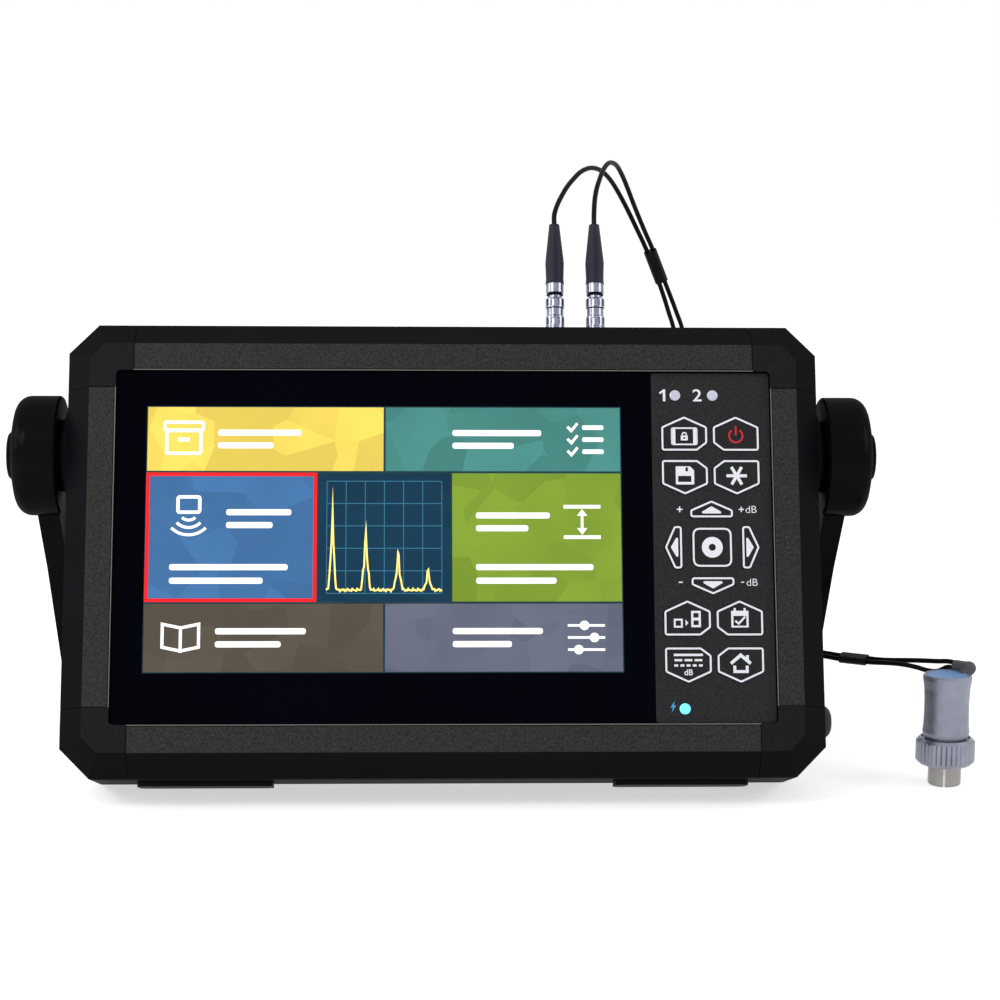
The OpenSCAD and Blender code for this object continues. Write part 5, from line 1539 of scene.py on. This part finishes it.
def mix_for_rays(tree, plain, seen, out):
    """Links seen to the output for camera, glossy and transmission rays, and plain for others."""
    rays = add_node(tree, "ShaderNodeLightPath")
    share = rays.outputs["Is Camera Ray"]
    for kind in ("Is Glossy Ray", "Is Transmission Ray"):
        either = add_node(tree, "ShaderNodeMath", {"operation": "MAXIMUM"},
                          {0: share, 1: rays.outputs[kind]})
        share = either.outputs["Value"]
    mixed = add_node(tree, "ShaderNodeMixShader", links={0: share, 1: plain, 2: seen})
    add_node(tree, out, links={"Surface": mixed.outputs["Shader"]})


def add_floor():
    """A pale matt floor that takes the shadow."""
    bm = bmesh.new()
    corners = rectangle(0, 0, 2 * FLOOR_HALF, 2 * FLOOR_HALF)
    bm.faces.new([bm.verts.new((x, y, 0)) for x, y in corners])
    mesh = bpy.data.meshes.new("floor")
    bm.to_mesh(mesh)
    bm.free()
    floor = bpy.data.objects.new("floor", mesh)
    bpy.context.scene.collection.objects.link(floor)
    material, tree, on_piece = start_material("Seamless white paper")
    fibre = add_node(tree, "ShaderNodeTexNoise", {"Scale": 1 / (3 * MM), "Detail": 3.0}, on_piece)
    tone = add_node(tree, "ShaderNodeValToRGB", links={"Fac": fibre.outputs["Fac"]},
                    stops=((0.3, linear("#eeeeee")), (0.7, linear("#f2f2f2"))))
    paper = add_node(tree, "ShaderNodeBsdfDiffuse", links={"Color": tone.outputs["Color"]})
    light = add_node(tree, "ShaderNodeEmission", {"Strength": FLOOR_LIFT})
    both = add_node(tree, "ShaderNodeAddShader",
                    links={0: paper.outputs["BSDF"], 1: light.outputs["Emission"]})
    mix_for_rays(tree, paper.outputs["BSDF"], both.outputs["Shader"], "ShaderNodeOutputMaterial")
    mesh.materials.append(material)


def add_world(scene, fill):
    """A white background, and an even light from all round."""
    world = bpy.data.worlds.new("studio")
    scene.world = world
    world.use_nodes = True
    tree = world.node_tree
    tree.nodes.clear()
    soft, white = [add_node(tree, "ShaderNodeBackground",
                            {"Color": (1, 1, 1, 1), "Strength": strength})
                   for strength in (fill, 1.0)]
    mix_for_rays(tree, soft.outputs["Background"], white.outputs["Background"],
                 "ShaderNodeOutputWorld")


def add_lamp(name, place, size, power):
    """A square soft lamp that points at the middle of the case."""
    data = bpy.data.lights.new(name, "AREA")
    data.size = size * MM
    data.energy = power
    lamp = bpy.data.objects.new(name, data)
    lamp.location = Vector(place) * MM
    aim = Vector((0, 0, FACE_Z * MM)) - lamp.location
    lamp.rotation_euler = aim.to_track_quat("-Z", "Y").to_euler()
    bpy.context.scene.collection.objects.link(lamp)


class FLAW_PT_sidebar(bpy.types.Panel):
    """Lists the flaw detector's pieces and settings"""

    bl_label = "Flaw detector"
    bl_idname = "FLAW_PT_sidebar"
    bl_space_type = "VIEW_3D"
    bl_region_type = "UI"
    bl_category = "Flaw detector"

    def draw(self, context):
        for kind in OPERATORS:
            self.layout.operator(kind.bl_idname)
        for name in SETTINGS:
            box = self.layout.box()
            settings = getattr(context.scene, name)
            for key in settings.__annotations__:
                box.prop(settings, key)


SETTINGS = {"flaw_case": CaseSettings, "flaw_panel": PanelSettings, "flaw_screen": ScreenSettings,
            "flaw_leads": LeadSettings, "flaw_inside": InsideSettings,
            "flaw_studio": StudioSettings}
OPERATORS = (FLAW_OT_stage, FLAW_OT_leads, FLAW_OT_case, FLAW_OT_handle, FLAW_OT_panel,
             FLAW_OT_painted_edge_highlight, FLAW_OT_key_prints, FLAW_OT_keypad_prints, FLAW_OT_lamps,
             FLAW_OT_screen, FLAW_OT_connectors, FLAW_OT_plug_seals, FLAW_OT_probe)


def register():
    """Registers the settings, the operators and the panel."""
    for name, kind in SETTINGS.items():
        bpy.utils.register_class(kind)
        setattr(bpy.types.Scene, name, PointerProperty(type=kind))
    for kind in (*OPERATORS, FLAW_PT_sidebar):
        bpy.utils.register_class(kind)


def unregister():
    """Removes them again."""
    for kind in (FLAW_PT_sidebar, *reversed(OPERATORS)):
        bpy.utils.unregister_class(kind)
    for name, kind in SETTINGS.items():
        delattr(bpy.types.Scene, name)
        bpy.utils.unregister_class(kind)


def main():
    """Makes everything."""
    register()
    work = bpy.ops.flaw_detector
    work.stage()
    work.leads()
    work.case()
    work.handle()
    work.panel()
    work.opening_edge()
    work.key_prints()
    work.keypad_prints()
    work.lamps()
    work.screen()
    work.connectors()
    work.plug_seals()
    work.probe()


if __name__ == "__main__":
    main()
